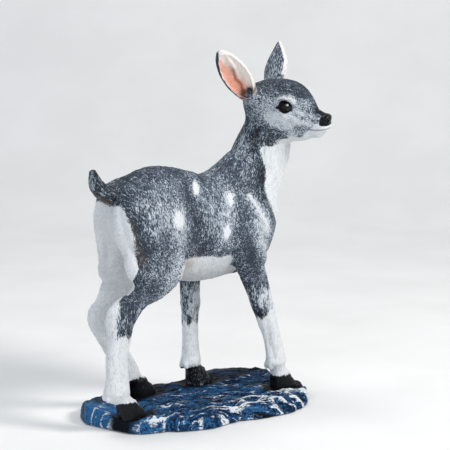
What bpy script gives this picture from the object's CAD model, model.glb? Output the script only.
"""Painted resin fawn standing on a rock slab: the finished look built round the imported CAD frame.
Every skin is sculpted as a signed-distance field from smooth limbs and muscle masses, meshed piece by piece,
cut at the same seams as the CAD castings and painted through vertex attributes. Sculpting is in millimetres."""
import math

import bmesh
import bpy
import numpy as np
from mathutils import Matrix, Vector


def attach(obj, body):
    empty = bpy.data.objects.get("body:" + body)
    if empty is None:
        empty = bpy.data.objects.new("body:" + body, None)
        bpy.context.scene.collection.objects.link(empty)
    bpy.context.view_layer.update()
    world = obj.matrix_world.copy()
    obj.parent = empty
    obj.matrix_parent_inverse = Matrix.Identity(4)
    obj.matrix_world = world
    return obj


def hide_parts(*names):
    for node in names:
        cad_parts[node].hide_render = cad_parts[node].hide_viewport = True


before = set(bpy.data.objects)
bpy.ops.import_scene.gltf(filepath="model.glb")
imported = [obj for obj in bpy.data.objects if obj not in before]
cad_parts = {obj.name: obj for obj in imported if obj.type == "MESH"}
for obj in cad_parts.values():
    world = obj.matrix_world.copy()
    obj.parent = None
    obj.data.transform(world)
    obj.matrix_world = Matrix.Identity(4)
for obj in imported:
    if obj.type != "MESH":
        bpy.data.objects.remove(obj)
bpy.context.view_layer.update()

FINE = 1.0     # grid coarsening for trial runs
MID = 11.6                            # the body's own middle plane, y


# ---- distance-field modelling ---------------------------------------------------------------------
def unit(v):
    v = np.asarray(v, float)
    return v / np.linalg.norm(v)


def catmull(P, n):
    """Smooth samples through stations, n per interval."""
    P = np.asarray(P, float)
    m = len(P)
    E = np.vstack([2 * P[0] - P[1], P, 2 * P[-1] - P[-2]])
    out = []
    for i in range(m - 1):
        p0, p1, p2, p3 = E[i], E[i + 1], E[i + 2], E[i + 3]
        for t in np.arange(n) / n:
            out.append(0.5 * ((2 * p1) + (-p0 + p2) * t + (2 * p0 - 5 * p1 + 4 * p2 - p3) * t * t + (-p0 + 3 * p1 - 3 * p2 + p3) * t ** 3))
    out.append(P[-1])
    return np.array(out)


def smin(a, b, k):
    if k <= 0:
        return np.minimum(a, b)
    h = np.clip(0.5 + 0.5 * (b - a) / k, 0, 1)
    return b * (1 - h) + a * h - k * h * (1 - h)


def smax(a, b, k):
    return -smin(-a, -b, k)


class Tube:
    """Swept elliptical limb. Stations: x, y, z, half width along side, half height above, half height below, pear."""

    def __init__(s, st, side=(0, 1, 0), n=5, k=0, op="u", cap=0.6):
        s.k, s.op = k, op
        st = np.array([list(q) + [0] * (7 - len(q)) for q in st], float)
        S = catmull(st, n)
        s.C, s.R, s.pear = S[:, :3], np.maximum(S[:, 3:6], 0.3), S[:, 6]
        T = np.gradient(s.C, axis=0)
        s.T = T / np.linalg.norm(T, axis=1)[:, None]
        side = np.asarray(side, float)
        if side.ndim == 1:
            side = np.repeat(side[None], len(st), 0)
        side = catmull(side, n)
        sd = side - (np.sum(side * s.T, 1))[:, None] * s.T
        s.S = sd / np.linalg.norm(sd, axis=1)[:, None]
        s.U = np.cross(s.T, s.S)
        s.L = np.concatenate([[0], np.cumsum(np.linalg.norm(np.diff(s.C, axis=0), axis=1))])
        e0, e1 = s.R[0].min() * cap, s.R[-1].min() * cap
        s.RC = np.minimum(0.6 * s.R[:, 1:].max(1), np.minimum(s.L + e0, s.L[-1] - s.L + e1))
        r = s.R.max(1)[:, None]
        s.lo, s.hi = (s.C - r).min(0) - k, (s.C + r).max(0) + k

    def seg(s, i, q):
        a, d = s.C[i], s.C[i + 1] - s.C[i]
        v = q - a
        t = np.clip((v @ d) / (d @ d), 0, 1)
        w = v - t[:, None] * d
        t = t[:, None]
        S = s.S[i] * (1 - t) + s.S[i + 1] * t
        U = s.U[i] * (1 - t) + s.U[i + 1] * t
        su, uu = np.einsum("ij,ij->i", w, S), np.einsum("ij,ij->i", w, U)
        R = s.R[i] * (1 - t) + s.R[i + 1] * t
        pe = (s.pear[i] * (1 - t) + s.pear[i + 1] * t)[:, 0]
        rb = np.where(uu > 0, R[:, 1], R[:, 2])
        ra = R[:, 0] * (1 - pe * np.clip(uu / rb, -1, 1))
        ww = np.sqrt(np.maximum(np.einsum("ij,ij->i", w, w) - su * su - uu * uu, 0))
        rc = (s.RC[i] * (1 - t) + s.RC[i + 1] * t)[:, 0]
        k0 = np.sqrt((su / ra) ** 2 + (uu / rb) ** 2 + (ww / rc) ** 2)
        k1 = np.sqrt((su / ra ** 2) ** 2 + (uu / rb ** 2) ** 2 + (ww / rc ** 2) ** 2) + 1e-9
        return k0 * (k0 - 1) / k1

    def f(s, q):
        best, last = np.full(len(q), 60.0), len(s.C) - 2
        for i in range(last + 1):
            d = s.C[i + 1] - s.C[i]
            size, r = np.linalg.norm(d), max(s.R[i].max(), s.R[i + 1].max())
            along, reach = (q - s.C[i]) @ (d / size), 0.22 * r + 4
            m = (along > (-reach if i else -r - s.k - 5)) & (along < size + (reach if i < last else r + s.k + 5))
            p = q[m] - 0.5 * (s.C[i] + s.C[i + 1])
            near = (p * p).sum(1) < (0.5 * size + reach + r + s.k + 5) ** 2
            m[m] = near
            if near.any():
                best[m] = np.minimum(best[m], s.seg(i, q[m]))
        return best


class Below:
    """Everything under a level; used to cut the soles flat."""

    def __init__(s, z, lo, hi):
        s.z, s.lo, s.hi, s.k, s.op = z, np.array(lo, float), np.array(hi, float), 0, "s"

    def f(s, q):
        return q[:, 2] - s.z


class Ell:
    """Ellipsoid mass. M rows are its forward, side and up directions."""

    def __init__(s, c, r, M, k=0, op="u"):
        s.c, s.r, s.M, s.k, s.op = np.array(c, float), np.array(r, float), np.array(M, float), k, op
        e = np.abs(s.M.T) @ s.r
        s.lo, s.hi = s.c - e - k, s.c + e + k

    def f(s, q):
        p = (q - s.c) @ s.M.T
        k0 = np.sqrt(((p / s.r) ** 2).sum(1))
        k1 = np.sqrt(((p / s.r ** 2) ** 2).sum(1)) + 1e-9
        return k0 * (k0 - 1) / k1


def field(prims, q):
    F = np.full(len(q), 1e3)
    for p in prims:
        m = np.all((q > p.lo - 4) & (q < p.hi + 4), 1)
        if m.any():
            d = p.f(q[m])
            F[m] = smin(F[m], d, p.k) if p.op == "u" else smax(F[m], -d, p.k)
    return F


def grid_points(lo, h, i0, i1):
    X, Y, Z = np.meshgrid(*[lo[a] + h * np.arange(i0[a], i1[a]) for a in range(3)], indexing="ij")
    return np.stack([X.ravel(), Y.ravel(), Z.ravel()], -1)


def coarse(prims, lo, h, shape, pad=4.0):
    F = np.full(shape, 1e3)
    for p in prims:
        i0 = [max(0, int(math.floor((p.lo[i] - pad - lo[i]) / h))) for i in range(3)]
        i1 = [min(shape[i], int(math.ceil((p.hi[i] + pad - lo[i]) / h)) + 1) for i in range(3)]
        if any(i1[i] <= i0[i] for i in range(3)):
            continue
        sl = tuple(slice(i0[i], i1[i]) for i in range(3))
        d = p.f(grid_points(lo, h, i0, i1)).reshape(F[sl].shape)
        F[sl] = smin(F[sl], d, p.k) if p.op == "u" else smax(F[sl], -d, p.k)
    return F


def upsample(F, n, shape):
    for a in range(3):
        x = np.arange(shape[a]) / n
        i = np.minimum(x.astype(int), F.shape[a] - 2)
        t = x - i
        sh = [1, 1, 1]
        sh[a] = shape[a]
        t = t.reshape(sh)
        F = np.take(F, i, axis=a) * (1 - t) + np.take(F, i + 1, axis=a) * t
    return F


def band(prims, lo, h, shape, n=3, w=3.5):
    """Coarse field first, then exact values only in a band round the surface."""
    C = coarse(prims, lo, h * n, tuple(int(math.ceil((m - 1) / n)) + 2 for m in shape))
    F = upsample(np.clip(C, -12 * h * n, 12 * h * n), n, shape).astype(np.float32)
    I = np.argwhere(np.abs(F) < w * h + 0.5 * h * n)
    for a in range(0, len(I), 400000):
        J = I[a:a + 400000]
        F[J[:, 0], J[:, 1], J[:, 2]] = field(prims, lo + J * h)
    return F


def soften(F, times):
    """Rounds creases of the field a little: repeated 1-2-1 averaging."""
    for _ in range(times):
        for a in range(3):
            G = F.copy()
            c = [slice(None)] * 3
            l, r = list(c), list(c)
            c[a], l[a], r[a] = slice(1, -1), slice(0, -2), slice(2, None)
            G[tuple(c)] = 0.5 * F[tuple(c)] + 0.25 * (F[tuple(l)] + F[tuple(r)])
            F = G
    return F


def nets(F, lo, h):
    """Surface nets: one vertex per crossing cell, quads facing outward."""
    s = F < 0
    nx, ny, nz = F.shape
    cnt = sum(s[i:nx - 1 + i, j:ny - 1 + j, k:nz - 1 + k].astype(np.int8) for i in (0, 1) for j in (0, 1) for k in (0, 1))
    act = (cnt > 0) & (cnt < 8)
    idx = np.full(act.shape, -1, np.int64)
    I = np.argwhere(act)
    idx[act] = np.arange(len(I))
    V, N = np.zeros((len(I), 3)), np.zeros(len(I))
    off = np.array([[i, j, k] for i in (0, 1) for j in (0, 1) for k in (0, 1)])
    val = np.stack([F[I[:, 0] + o[0], I[:, 1] + o[1], I[:, 2] + o[2]] for o in off], -1)
    for a in range(8):
        for b in range(a + 1, 8):
            if np.abs(off[a] - off[b]).sum() != 1:
                continue
            va, vb = val[:, a], val[:, b]
            m = (va < 0) != (vb < 0)
            t = va[m] / (va[m] - vb[m])
            V[m] += off[a] + (off[b] - off[a]) * t[:, None]
            N[m] += 1
    V = (V / N[:, None] + I) * h + lo
    Q = []
    for ax in range(3):
        s0, s1 = [slice(None)] * 3, [slice(None)] * 3
        s0[ax], s1[ax] = slice(0, -1), slice(1, None)
        a, b = s[tuple(s0)], s[tuple(s1)]
        ch = a != b
        E, up = np.argwhere(ch), a[ch]
        u, v = (ax + 1) % 3, (ax + 2) % 3
        ok = (E[:, u] > 0) & (E[:, v] > 0) & (E[:, u] < F.shape[u] - 1) & (E[:, v] < F.shape[v] - 1)
        E, up = E[ok], up[ok]

        def corner(du, dv):
            K = E.copy()
            K[:, u] -= du
            K[:, v] -= dv
            return idx[K[:, 0], K[:, 1], K[:, 2]]

        q = np.stack([corner(1, 1), corner(0, 1), corner(0, 0), corner(1, 0)], -1)
        q[~up] = q[~up][:, ::-1]
        Q.append(q)
    return V, np.vstack(Q)


def normals(V, Q):
    n = np.cross(V[Q[:, 2]] - V[Q[:, 0]], V[Q[:, 3]] - V[Q[:, 1]])
    N = np.zeros_like(V)
    for i in range(4):
        np.add.at(N, Q[:, i], n)
    return N / np.maximum(np.linalg.norm(N, axis=1)[:, None], 1e-12)


# ---- procedural noise for the carved relief ---------------------------------------------------------
def lattice(i, j, k, seed):
    n = (i.astype(np.uint32) * np.uint32(73856093)) ^ (j.astype(np.uint32) * np.uint32(19349663)) ^ (k.astype(np.uint32) * np.uint32(83492791)) ^ np.uint32(seed * 374761393 & 0xFFFFFFFF)
    n = (n ^ (n >> np.uint32(13))) * np.uint32(1274126177)
    n = (n ^ (n >> np.uint32(16))) * np.uint32(2246822519)
    return ((n >> np.uint32(8)) & np.uint32(0xFFFF)).astype(np.float64) / 32767.5 - 1.0


def noise(q, seed=0):
    f = np.floor(q)
    t = q - f
    t = t * t * t * (t * (t * 6 - 15) + 10)
    f = f.astype(np.int64)
    out = 0
    for a in (0, 1):
        for b in (0, 1):
            for c in (0, 1):
                w = (t[:, 0] if a else 1 - t[:, 0]) * (t[:, 1] if b else 1 - t[:, 1]) * (t[:, 2] if c else 1 - t[:, 2])
                out = out + w * lattice(f[:, 0] + a, f[:, 1] + b, f[:, 2] + c, seed)
    return out


def fbm(q, octaves=3, seed=0):
    out, a, s = 0, 1.0, 0
    for i in range(octaves):
        out = out + a * noise(q * 2.0 ** i + 17.3 * i, seed + i)
        s, a = s + a, a * 0.5
    return out / s


def step(x, a, b):
    """0 below a, 1 above b, smooth between (also for a > b)."""
    t = np.clip((x - a) / (b - a), 0, 1)
    return t * t * (3 - 2 * t)


def bump(x, y, cx, cy, sx, sy, tilt=0.0):
    c, s = math.cos(math.radians(tilt)), math.sin(math.radians(tilt))
    u, v = (x - cx) * c + (y - cy) * s, -(x - cx) * s + (y - cy) * c
    return np.exp(-0.5 * ((u / sx) ** 2 + (v / sy) ** 2))


def stroke(x, y, pts, s):
    """1 on a polyline, fading with width s."""
    d = np.full(len(x), 1e9)
    for (ax, ay), (bx, by) in zip(pts, pts[1:]):
        dx, dy = bx - ax, by - ay
        t = np.clip(((x - ax) * dx + (y - ay) * dy) / (dx * dx + dy * dy), 0, 1)
        d = np.minimum(d, (x - ax - t * dx) ** 2 + (y - ay - t * dy) ** 2)
    return np.exp(-0.5 * d / s ** 2)


# ---- the animal as limbs and masses, in millimetres in the row frame ---------------------------------
def body_prims():
    return [
    Tube([[-117.1, 11.6, 276, 20, 22, 26, 0], [-104.1, 11.6, 270, 31, 43, 42, 0], [-84.1, 11.6, 263, 36, 56, 54, 0], [-59.1, 11.6, 257, 37, 62, 66, 0], [-32.1, 11.6, 247, 37, 65, 72, 0], [-4.1, 11.6, 238, 39, 65, 72, 0], [20.9, 11.6, 236, 40, 67, 71, 0], [45.9, 11.6, 237, 38, 68, 68, 0], [69.9, 11.6, 237, 34, 60, 62, 0], [92.9, 11.6, 236, 29, 46, 50, 0], [108.9, 11.6, 235, 20, 30, 32, 0]],
             side=[0, 1, 0], n=4, k=0, op='u', cap=0.6),
        Tube([[66.5, 11.6, 248.56, 33, 59.97, 59.97, 0], [79.67, 11.6, 278.04, 31, 50.68, 50.68, 0], [98.5, 10.6, 302.03, 28, 40.99, 40.99, 0], [104.25, 8.6, 318.33, 26.5, 38.04, 38.04, 0], [109.16, 5.6, 336.61, 25, 34.5, 34.5, 0], [112.89, 2.6, 353.9, 24, 30.63, 30.63, 0]],
             side=[[0, 1, 0], [0.072, 0.997, -0.025], [0.234, 0.97, -0.07], [0.437, 0.899, -0.005], [0.612, 0.791, -0.015], [0.756, 0.652, -0.05]], n=8, k=18, op='u', cap=0.5),
        Ell([-105.1, -9.4, 256], [32, 20, 47], [[1, 0, 0], [0, 1, 0], [0, 0, 1]], k=12, op='u'),
        Ell([-105.1, 32.6, 256], [32, 20, 47], [[1, 0, 0], [0, 1, 0], [0, 0, 1]], k=12, op='u'),
        Ell([-84.1, -15.4, 236], [42, 20.5, 56], [[1, 0, 0], [0, 1, 0], [0, 0, 1]], k=10, op='u'),
        Ell([-84.1, 38.6, 236], [42, 20.5, 56], [[1, 0, 0], [0, 1, 0], [0, 0, 1]], k=10, op='u'),
        Ell([73.9, -9.4, 236], [32, 17, 50], [[0.9439, 0, 0.3304], [0, 1, 0], [-0.3304, 0, 0.9439]], k=10, op='u'),
        Ell([73.9, 32.6, 236], [32, 17, 50], [[0.9439, 0, 0.3304], [0, 1, 0], [-0.3304, 0, 0.9439]], k=10, op='u'),
        Ell([94.9, 11.6, 230], [20, 20, 26], [[0.9285, 0, 0.3714], [0, 1, 0], [-0.3714, 0, 0.9285]], k=12, op='u'),
        Ell([67.9, 11.6, 186], [34, 20, 16], [[1, 0, 0], [0, 1, 0], [0, 0, 1]], k=10, op='u'),
        Tube([[-94.1, -12.4, 262, 17, 30, 32, 0], [-90.1, -17.4, 232, 18, 36, 34, 0], [-88.65, -25.4, 202.72, 16, 44.96, 44.96, 0], [-95.62, -25.4, 182.31, 13.5, 30.41, 30.41, 0], [-106.82, -24.9, 169.5, 12, 17.87, 17.87, 0], [-118.38, -24.4, 159.55, 11.2, 14.87, 14.87, 0], [-139.14, -23.9, 143.35, 11, 21.48, 21.48, 0], [-141, -23.9, 119.57, 9.6, 16.27, 16.27, 0], [-145.95, -24.4, 94.36, 9.2, 15.24, 15.24, 0], [-146.05, -24.9, 68.44, 9.6, 15.99, 15.99, 0], [-147.74, -25.4, 50.85, 11.5, 18.25, 18.25, 0]],
             side=[0, 1, 0], n=4, k=9, op='u', cap=0.4),
        Tube([[-96.1, 35.6, 262, 17, 30, 34, 0], [-93.1, 40.6, 232, 18, 34, 34, 0], [-82.91, 47.6, 188.98, 16, 40.42, 40.42, 0], [-92.27, 46.6, 170.37, 13.5, 26.52, 26.52, 0], [-103.31, 45.6, 160.42, 12, 18.65, 18.65, 0], [-115.49, 44.6, 140.72, 11.2, 16.02, 16.02, 0], [-120.35, 44.6, 129.51, 11, 21.8, 21.8, 0], [-114.39, 46.6, 108.24, 9.6, 15.25, 15.25, 0], [-98.47, 48.1, 82.09, 9.2, 14.62, 14.62, 0], [-81.24, 49.6, 55.39, 9.8, 15.08, 15.08, 0], [-77.19, 50.6, 43.61, 11.2, 16.06, 16.06, 0]],
             side=[0, 1, 0], n=4, k=9, op='u', cap=0.4),
        Tube([[73.9, -5.4, 262, 13, 22, 22, 0], [67.9, -12.4, 238, 15, 26, 27, 0], [57.9, -18.4, 214, 15.5, 24, 25, 0], [62.57, -22.4, 193.72, 15, 25.58, 25.58, 0], [63.04, -23.4, 182.7, 13.5, 20.03, 20.03, 0], [70.48, -24.4, 162.22, 12, 17.93, 17.93, 0], [79.25, -25.4, 137.46, 10.8, 15.94, 15.94, 0], [84.96, -26.4, 117.61, 10.8, 14.14, 14.14, 0], [93.77, -27.4, 92.51, 9.4, 12.91, 12.91, 0], [99.59, -28.4, 70.04, 9.2, 13.59, 13.59, 0], [101.52, -29.4, 51.44, 11, 14.81, 14.81, 0]],
             side=[0, 1, 0], n=4, k=9, op='u', cap=0.4),
        Tube([[73.9, 28.6, 262, 13, 22, 22, 0], [63.9, 35.6, 238, 15, 26, 27, 0], [45.9, 41.6, 212, 15.5, 24, 24, 0], [19.5, 43.6, 182.03, 14, 19.01, 19.01, 0], [17.39, 44.6, 159.59, 12, 14.5, 14.5, 0], [17.98, 45.6, 142.05, 11, 13.74, 13.74, 0], [19.14, 46.6, 124.36, 10.4, 12.7, 12.7, 0], [19.01, 47.6, 108.12, 10.4, 11.32, 11.32, 0], [19.7, 48.1, 89.12, 9.2, 11.29, 11.29, 0], [20.8, 48.6, 67.96, 9.2, 12.1, 12.1, 0], [21.31, 49.6, 48.74, 10.8, 14.69, 14.69, 0]],
             side=[0, 1, 0], n=4, k=9, op='u', cap=0.4),
        Tube([[-147.74, -25.4, 50.85, 11.27, 15.69, 16.42, 0], [-141.46, -25.56, 42.18, 10.2, 10.5, 10.6, 0], [-135.17, -25.72, 33.5, 11, 12, 12, 0]],
             side=[0.139, 0.99, 0], n=5, k=5, op='u', cap=0.6),
        Tube([[-135.38, -30.78, 36.5, 6.2, 11.6, 11.2, 0], [-132.48, -31.28, 25.18, 7, 14.6, 12.4, 0], [-128.94, -31.89, 17, 7.6, 18.6, 13.6, 0], [-128.94, -31.89, 8, 7.8, 20.5, 14.2, 0]],
             side=[0.139, 0.99, 0], n=5, k=1.6, op='u', cap=0.3),
        Ell([-162.86, -28.12, 45.35], [2.8, 2.8, 4.8], [[0.9607, -0.135, 0.2425], [0.1392, 0.9903, 0], [-0.2402, 0.0338, 0.9701]], k=2.4, op='u'),
        Tube([[-133.97, -20.8, 36.5, 6.2, 11.6, 11.2, 0], [-130.95, -20.4, 25.18, 7, 14.6, 12.4, 0], [-127.26, -19.91, 17, 7.6, 18.6, 13.6, 0], [-127.26, -19.91, 8, 7.8, 20.5, 14.2, 0]],
             side=[0.139, 0.99, 0], n=5, k=1.6, op='u', cap=0.3),
        Ell([-161.53, -18.62, 45.35], [2.8, 2.8, 4.8], [[0.9607, -0.135, 0.2425], [0.1392, 0.9903, 0], [-0.2402, 0.0338, 0.9701]], k=2.4, op='u'),
        Ell([-112.26, -28.13, 21], [17, 1.2, 18], [[0.9903, -0.1392, 0], [0.1392, 0.9903, 0], [0, 0, 1]], k=1.4, op='s'),
        Tube([[-77.19, 50.6, 43.61, 10.98, 13.81, 14.45, 0], [-70.76, 51.24, 38.56, 10.2, 10.5, 10.6, 0], [-64.33, 51.88, 33.5, 11, 12, 12, 0]],
             side=[-0.035, 0.999, 0], n=5, k=5, op='u', cap=0.6),
        Tube([[-63.66, 46.86, 36.5, 6.2, 11.6, 11.2, 0], [-60.61, 46.72, 25.18, 7, 14.6, 12.4, 0], [-56.89, 46.56, 17, 7.6, 18.6, 13.6, 0], [-56.89, 46.56, 8, 7.8, 20.5, 14.2, 0]],
             side=[-0.035, 0.999, 0], n=5, k=1.6, op='u', cap=0.3),
        Ell([-89.86, 45.35, 38.11], [2.8, 2.8, 4.8], [[0.9696, 0.0339, 0.2425], [-0.0349, 0.9994, 0], [-0.2424, -0.0085, 0.9701]], k=2.4, op='u'),
        Tube([[-64.01, 56.93, 36.5, 6.2, 11.6, 11.2, 0], [-60.99, 57.7, 25.18, 7, 14.6, 12.4, 0], [-57.31, 58.64, 17, 7.6, 18.6, 13.6, 0], [-57.31, 58.64, 8, 7.8, 20.5, 14.2, 0]],
             side=[-0.035, 0.999, 0], n=5, k=1.6, op='u', cap=0.3),
        Ell([-90.2, 54.95, 38.11], [2.8, 2.8, 4.8], [[0.9696, 0.0339, 0.2425], [-0.0349, 0.9994, 0], [-0.2424, -0.0085, 0.9701]], k=2.4, op='u'),
        Ell([-41.11, 53.16, 21], [17, 1.2, 18], [[0.9994, 0.0349, 0], [-0.0349, 0.9994, 0], [0, 0, 1]], k=1.4, op='s'),
        Tube([[101.52, -29.4, 51.44, 10.78, 12.73, 13.32, 0], [104.2, -29.88, 42.47, 10.2, 10.5, 10.6, 0], [106.88, -30.36, 33.5, 11, 12, 12, 0]],
             side=[0.105, 0.995, 0], n=5, k=5, op='u', cap=0.6),
        Tube([[106.85, -35.42, 36.5, 6.2, 11.6, 11.2, 0], [107.94, -36.1, 25.18, 7, 14.6, 12.4, 0], [109.27, -36.91, 17, 7.6, 18.6, 13.6, 0], [109.27, -36.91, 8, 7.8, 20.5, 14.2, 0]],
             side=[0.105, 0.995, 0], n=5, k=1.6, op='u', cap=0.3),
        Ell([89.24, -32.94, 45.94], [2.8, 2.8, 4.8], [[0.9648, -0.1014, 0.2425], [0.1045, 0.9945, 0], [-0.2412, 0.0254, 0.9701]], k=2.4, op='u'),
        Tube([[107.91, -25.4, 36.5, 6.2, 11.6, 11.2, 0], [109.09, -25.17, 25.18, 7, 14.6, 12.4, 0], [110.53, -24.89, 17, 7.6, 18.6, 13.6, 0], [110.53, -24.89, 8, 7.8, 20.5, 14.2, 0]],
             side=[0.105, 0.995, 0], n=5, k=1.6, op='u', cap=0.3),
        Ell([90.24, -23.39, 45.94], [2.8, 2.8, 4.8], [[0.9648, -0.1014, 0.2425], [0.1045, 0.9945, 0], [-0.2412, 0.0254, 0.9701]], k=2.4, op='u'),
        Ell([125.81, -32.57, 21], [17, 1.2, 18], [[0.9945, -0.1045, 0], [0.1045, 0.9945, 0], [0, 0, 1]], k=1.4, op='s'),
        Tube([[21.31, 49.6, 48.74, 10.58, 12.63, 13.22, 0], [24.7, 49.6, 41.12, 10.2, 10.5, 10.6, 0], [28.09, 49.6, 33.5, 11, 12, 12, 0]],
             side=[-0.07, 0.998, 0], n=5, k=5, op='u', cap=0.6),
        Tube([[28.94, 44.61, 36.5, 6.2, 11.6, 11.2, 0], [30.46, 44.14, 25.18, 7, 14.6, 12.4, 0], [32.32, 43.57, 17, 7.6, 18.6, 13.6, 0], [32.32, 43.57, 8, 7.8, 20.5, 14.2, 0]],
             side=[-0.07, 0.998, 0], n=5, k=1.6, op='u', cap=0.3),
        Ell([9.92, 43.99, 43.24], [2.8, 2.8, 4.8], [[0.9678, 0.0677, 0.2425], [-0.0698, 0.9976, 0], [-0.2419, -0.0169, 0.9701]], k=2.4, op='u'),
        Tube([[28.23, 54.66, 36.5, 6.2, 11.6, 11.2, 0], [29.69, 55.1, 25.18, 7, 14.6, 12.4, 0], [31.48, 55.63, 17, 7.6, 18.6, 13.6, 0], [31.48, 55.63, 8, 7.8, 20.5, 14.2, 0]],
             side=[-0.07, 0.998, 0], n=5, k=1.6, op='u', cap=0.3),
        Ell([9.25, 53.57, 43.24], [2.8, 2.8, 4.8], [[0.9678, 0.0677, 0.2425], [-0.0698, 0.9976, 0], [-0.2419, -0.0169, 0.9701]], k=2.4, op='u'),
        Ell([47.86, 50.72, 21], [17, 1.2, 18], [[0.9976, 0.0698, 0], [-0.0698, 0.9976, 0], [0, 0, 1]], k=1.4, op='s'),
        Below(15, [-220, -120, -20], [220, 120, 19.5]),
        Tube([[105.24, 28.77, 383.89, 15, 18, 22, 0], [109.07, 20.22, 385.41, 23, 25.5, 30, 0], [115.28, 7.69, 384.19, 28.5, 33, 36, 0.05], [122.9, -7.27, 381.53, 30.5, 37, 38, 0.05], [129.56, -20.68, 380.16, 29.5, 37, 39, 0.08], [135.08, -30.82, 376.33, 24.5, 31, 34, 0.1], [139.77, -38.99, 371.84, 18.6, 22.6, 28, 0.08], [143.56, -45.41, 367.66, 15.2, 17.6, 23, 0.05], [147.74, -52.91, 364.3, 13.4, 16.2, 19.5, 0], [151.81, -60.73, 362.41, 12, 14.2, 13.5, 0], [153.94, -65.44, 363.09, 10, 10.5, 9, 0]],
             side=[0.891, 0.427, 0.155], n=5, k=10, op='u', cap=0.5),
        Ell([113.02, -14.31, 360.87], [25, 15, 19], [[0.4533, -0.822, -0.3447], [0.8911, 0.4266, 0.1545], [0.02, -0.3772, 0.9259]], k=9, op='u'),
        Ell([111.88, -38.78, 392.97], [13.5, 8, 6.5], [[0.672, -0.6167, -0.41], [0.7247, 0.6615, 0.1929], [0.1523, -0.4268, 0.8914]], k=5, op='u'),
        Ell([122.75, -40.75, 371.28], [16, 7, 8], [[0.7321, -0.5619, -0.3851], [0.6609, 0.7229, 0.2016], [0.1651, -0.402, 0.9006]], k=7, op='u'),
        Ell([105.01, -40.29, 384.99], [10.5, 5, 8.5], [[0.6548, -0.7266, -0.208], [0.7558, 0.6273, 0.1878], [-0.006, -0.2802, 0.9599]], k=3.5, op='s'),
        Ell([143.77, -59.76, 359.48], [10.5, 6.6, 7.6], [[0.4531, -0.8549, -0.2527], [0.8911, 0.4266, 0.1545], [-0.0243, -0.2952, 0.9551]], k=5, op='u'),
        Ell([139.76, -1.51, 365.51], [25, 15, 19], [[0.4533, -0.822, -0.3447], [0.8911, 0.4266, 0.1545], [0.02, -0.3772, 0.9259]], k=9, op='u'),
        Ell([150.19, -20.44, 399.62], [13.5, 8, 6.5], [[0.1864, -0.8491, -0.4942], [0.9824, 0.1557, 0.103], [-0.0105, -0.5048, 0.8632]], k=5, op='u'),
        Ell([151.27, -27.1, 376.23], [16, 7, 8], [[0.1026, -0.8633, -0.4942], [0.9939, 0.0692, 0.0854], [-0.0395, -0.5, 0.8651]], k=7, op='u'),
        Ell([157.58, -15.12, 394.1], [10.5, 5, 8.5], [[0.2245, -0.9326, -0.2826], [0.9733, 0.2004, 0.112], [-0.0478, -0.3001, 0.9527]], k=3.5, op='s'),
        Ell([156.6, -53.61, 361.71], [10.5, 6.6, 7.6], [[0.4531, -0.8549, -0.2527], [0.8911, 0.4266, 0.1545], [-0.0243, -0.2952, 0.9551]], k=5, op='u'),
        Ell([149.7, -52.57, 352.01], [9.6, 9.2, 7.4], [[0.4393, -0.8964, -0.0586], [0.8911, 0.4266, 0.1545], [-0.1135, -0.1201, 0.9863]], k=3.2, op='u'),
        Ell([87.47, 7.82, 396.76], [12.5, 10.5, 11], [[-0.6815, -0.0664, 0.7288], [-0.699, -0.2361, -0.675], [0.217, -0.9694, 0.1145]], k=6, op='u'),
        Ell([131.71, 17.02, 405.92], [12.5, 10.5, 11], [[0.462, 0.2618, 0.8474], [-0.7135, -0.4578, 0.5304], [0.5268, -0.8496, -0.0247]], k=6, op='u'),
        Ell([139.12, -29.79, 350.19], [23, 12, 12], [[0.4096, -0.9029, 0.1305], [0.8911, 0.4266, 0.1545], [-0.1952, 0.053, 0.9793]], k=7, op='u'),
        Ell([153.05, -65.9, 369.49], [6.4, 10.4, 6.6], [[0.4484, -0.88, -0.1564], [0.8911, 0.4266, 0.1545], [-0.0692, -0.2087, 0.9755]], k=2.2, op='u'),
        Ell([150.46, -72.65, 366.84], [3.2, 2.2, 1.7], [[0.0025, -0.9779, -0.209], [0.9976, -0.012, 0.0682], [-0.0692, -0.2087, 0.9755]], k=1, op='s'),
        Ell([160.44, -67.88, 368.57], [3.2, 2.2, 1.7], [[0.7996, -0.5963, -0.0708], [0.5965, 0.7751, 0.2082], [-0.0692, -0.2087, 0.9755]], k=1, op='s'),
    ]


def ear_right_prims():
    return [
    Tube([[93.53, 8.41, 390.27, 9.24, 9, 9, 0], [86.33, 7.7, 397.97, 11.48, 9, 10.5, 0], [78.42, 6.95, 406.45, 14.91, 8, 10.5, 0], [69.18, 6.31, 416.6, 17.33, 7, 9.6, 0], [59.4, 5.99, 427.73, 17.68, 5.8, 8.2, 0], [50.48, 6.04, 438.24, 15.65, 4.8, 6.6, 0], [43.72, 6.31, 446.44, 12.22, 3.8, 4.8, 0], [38.71, 6.64, 452.66, 7.87, 2.8, 3.4, 0], [36.06, 6.86, 456, 4.18, 1.8, 2, 0]],
             side=[0.629, -0.563, 0.537], n=4, k=0, op='u', cap=0.5),
        Tube([[82.18, 4.62, 399.61, 6.08, 5, 7, 0], [75.72, 4.03, 406.56, 10.65, 5, 10, 0], [67.2, 3.47, 415.95, 14.21, 5, 10.5, 0], [58.13, 3.19, 426.28, 14.73, 4.2, 9, 0], [49.21, 3.24, 436.79, 12.84, 3, 7, 0], [42.45, 3.5, 444.99, 9.3, 2, 4.6, 0], [38.1, 3.78, 450.38, 5.04, 1.2, 3, 0]],
             side=[0.629, -0.563, 0.537], n=4, k=1.2, op='s', cap=0.5),
    ]


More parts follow.
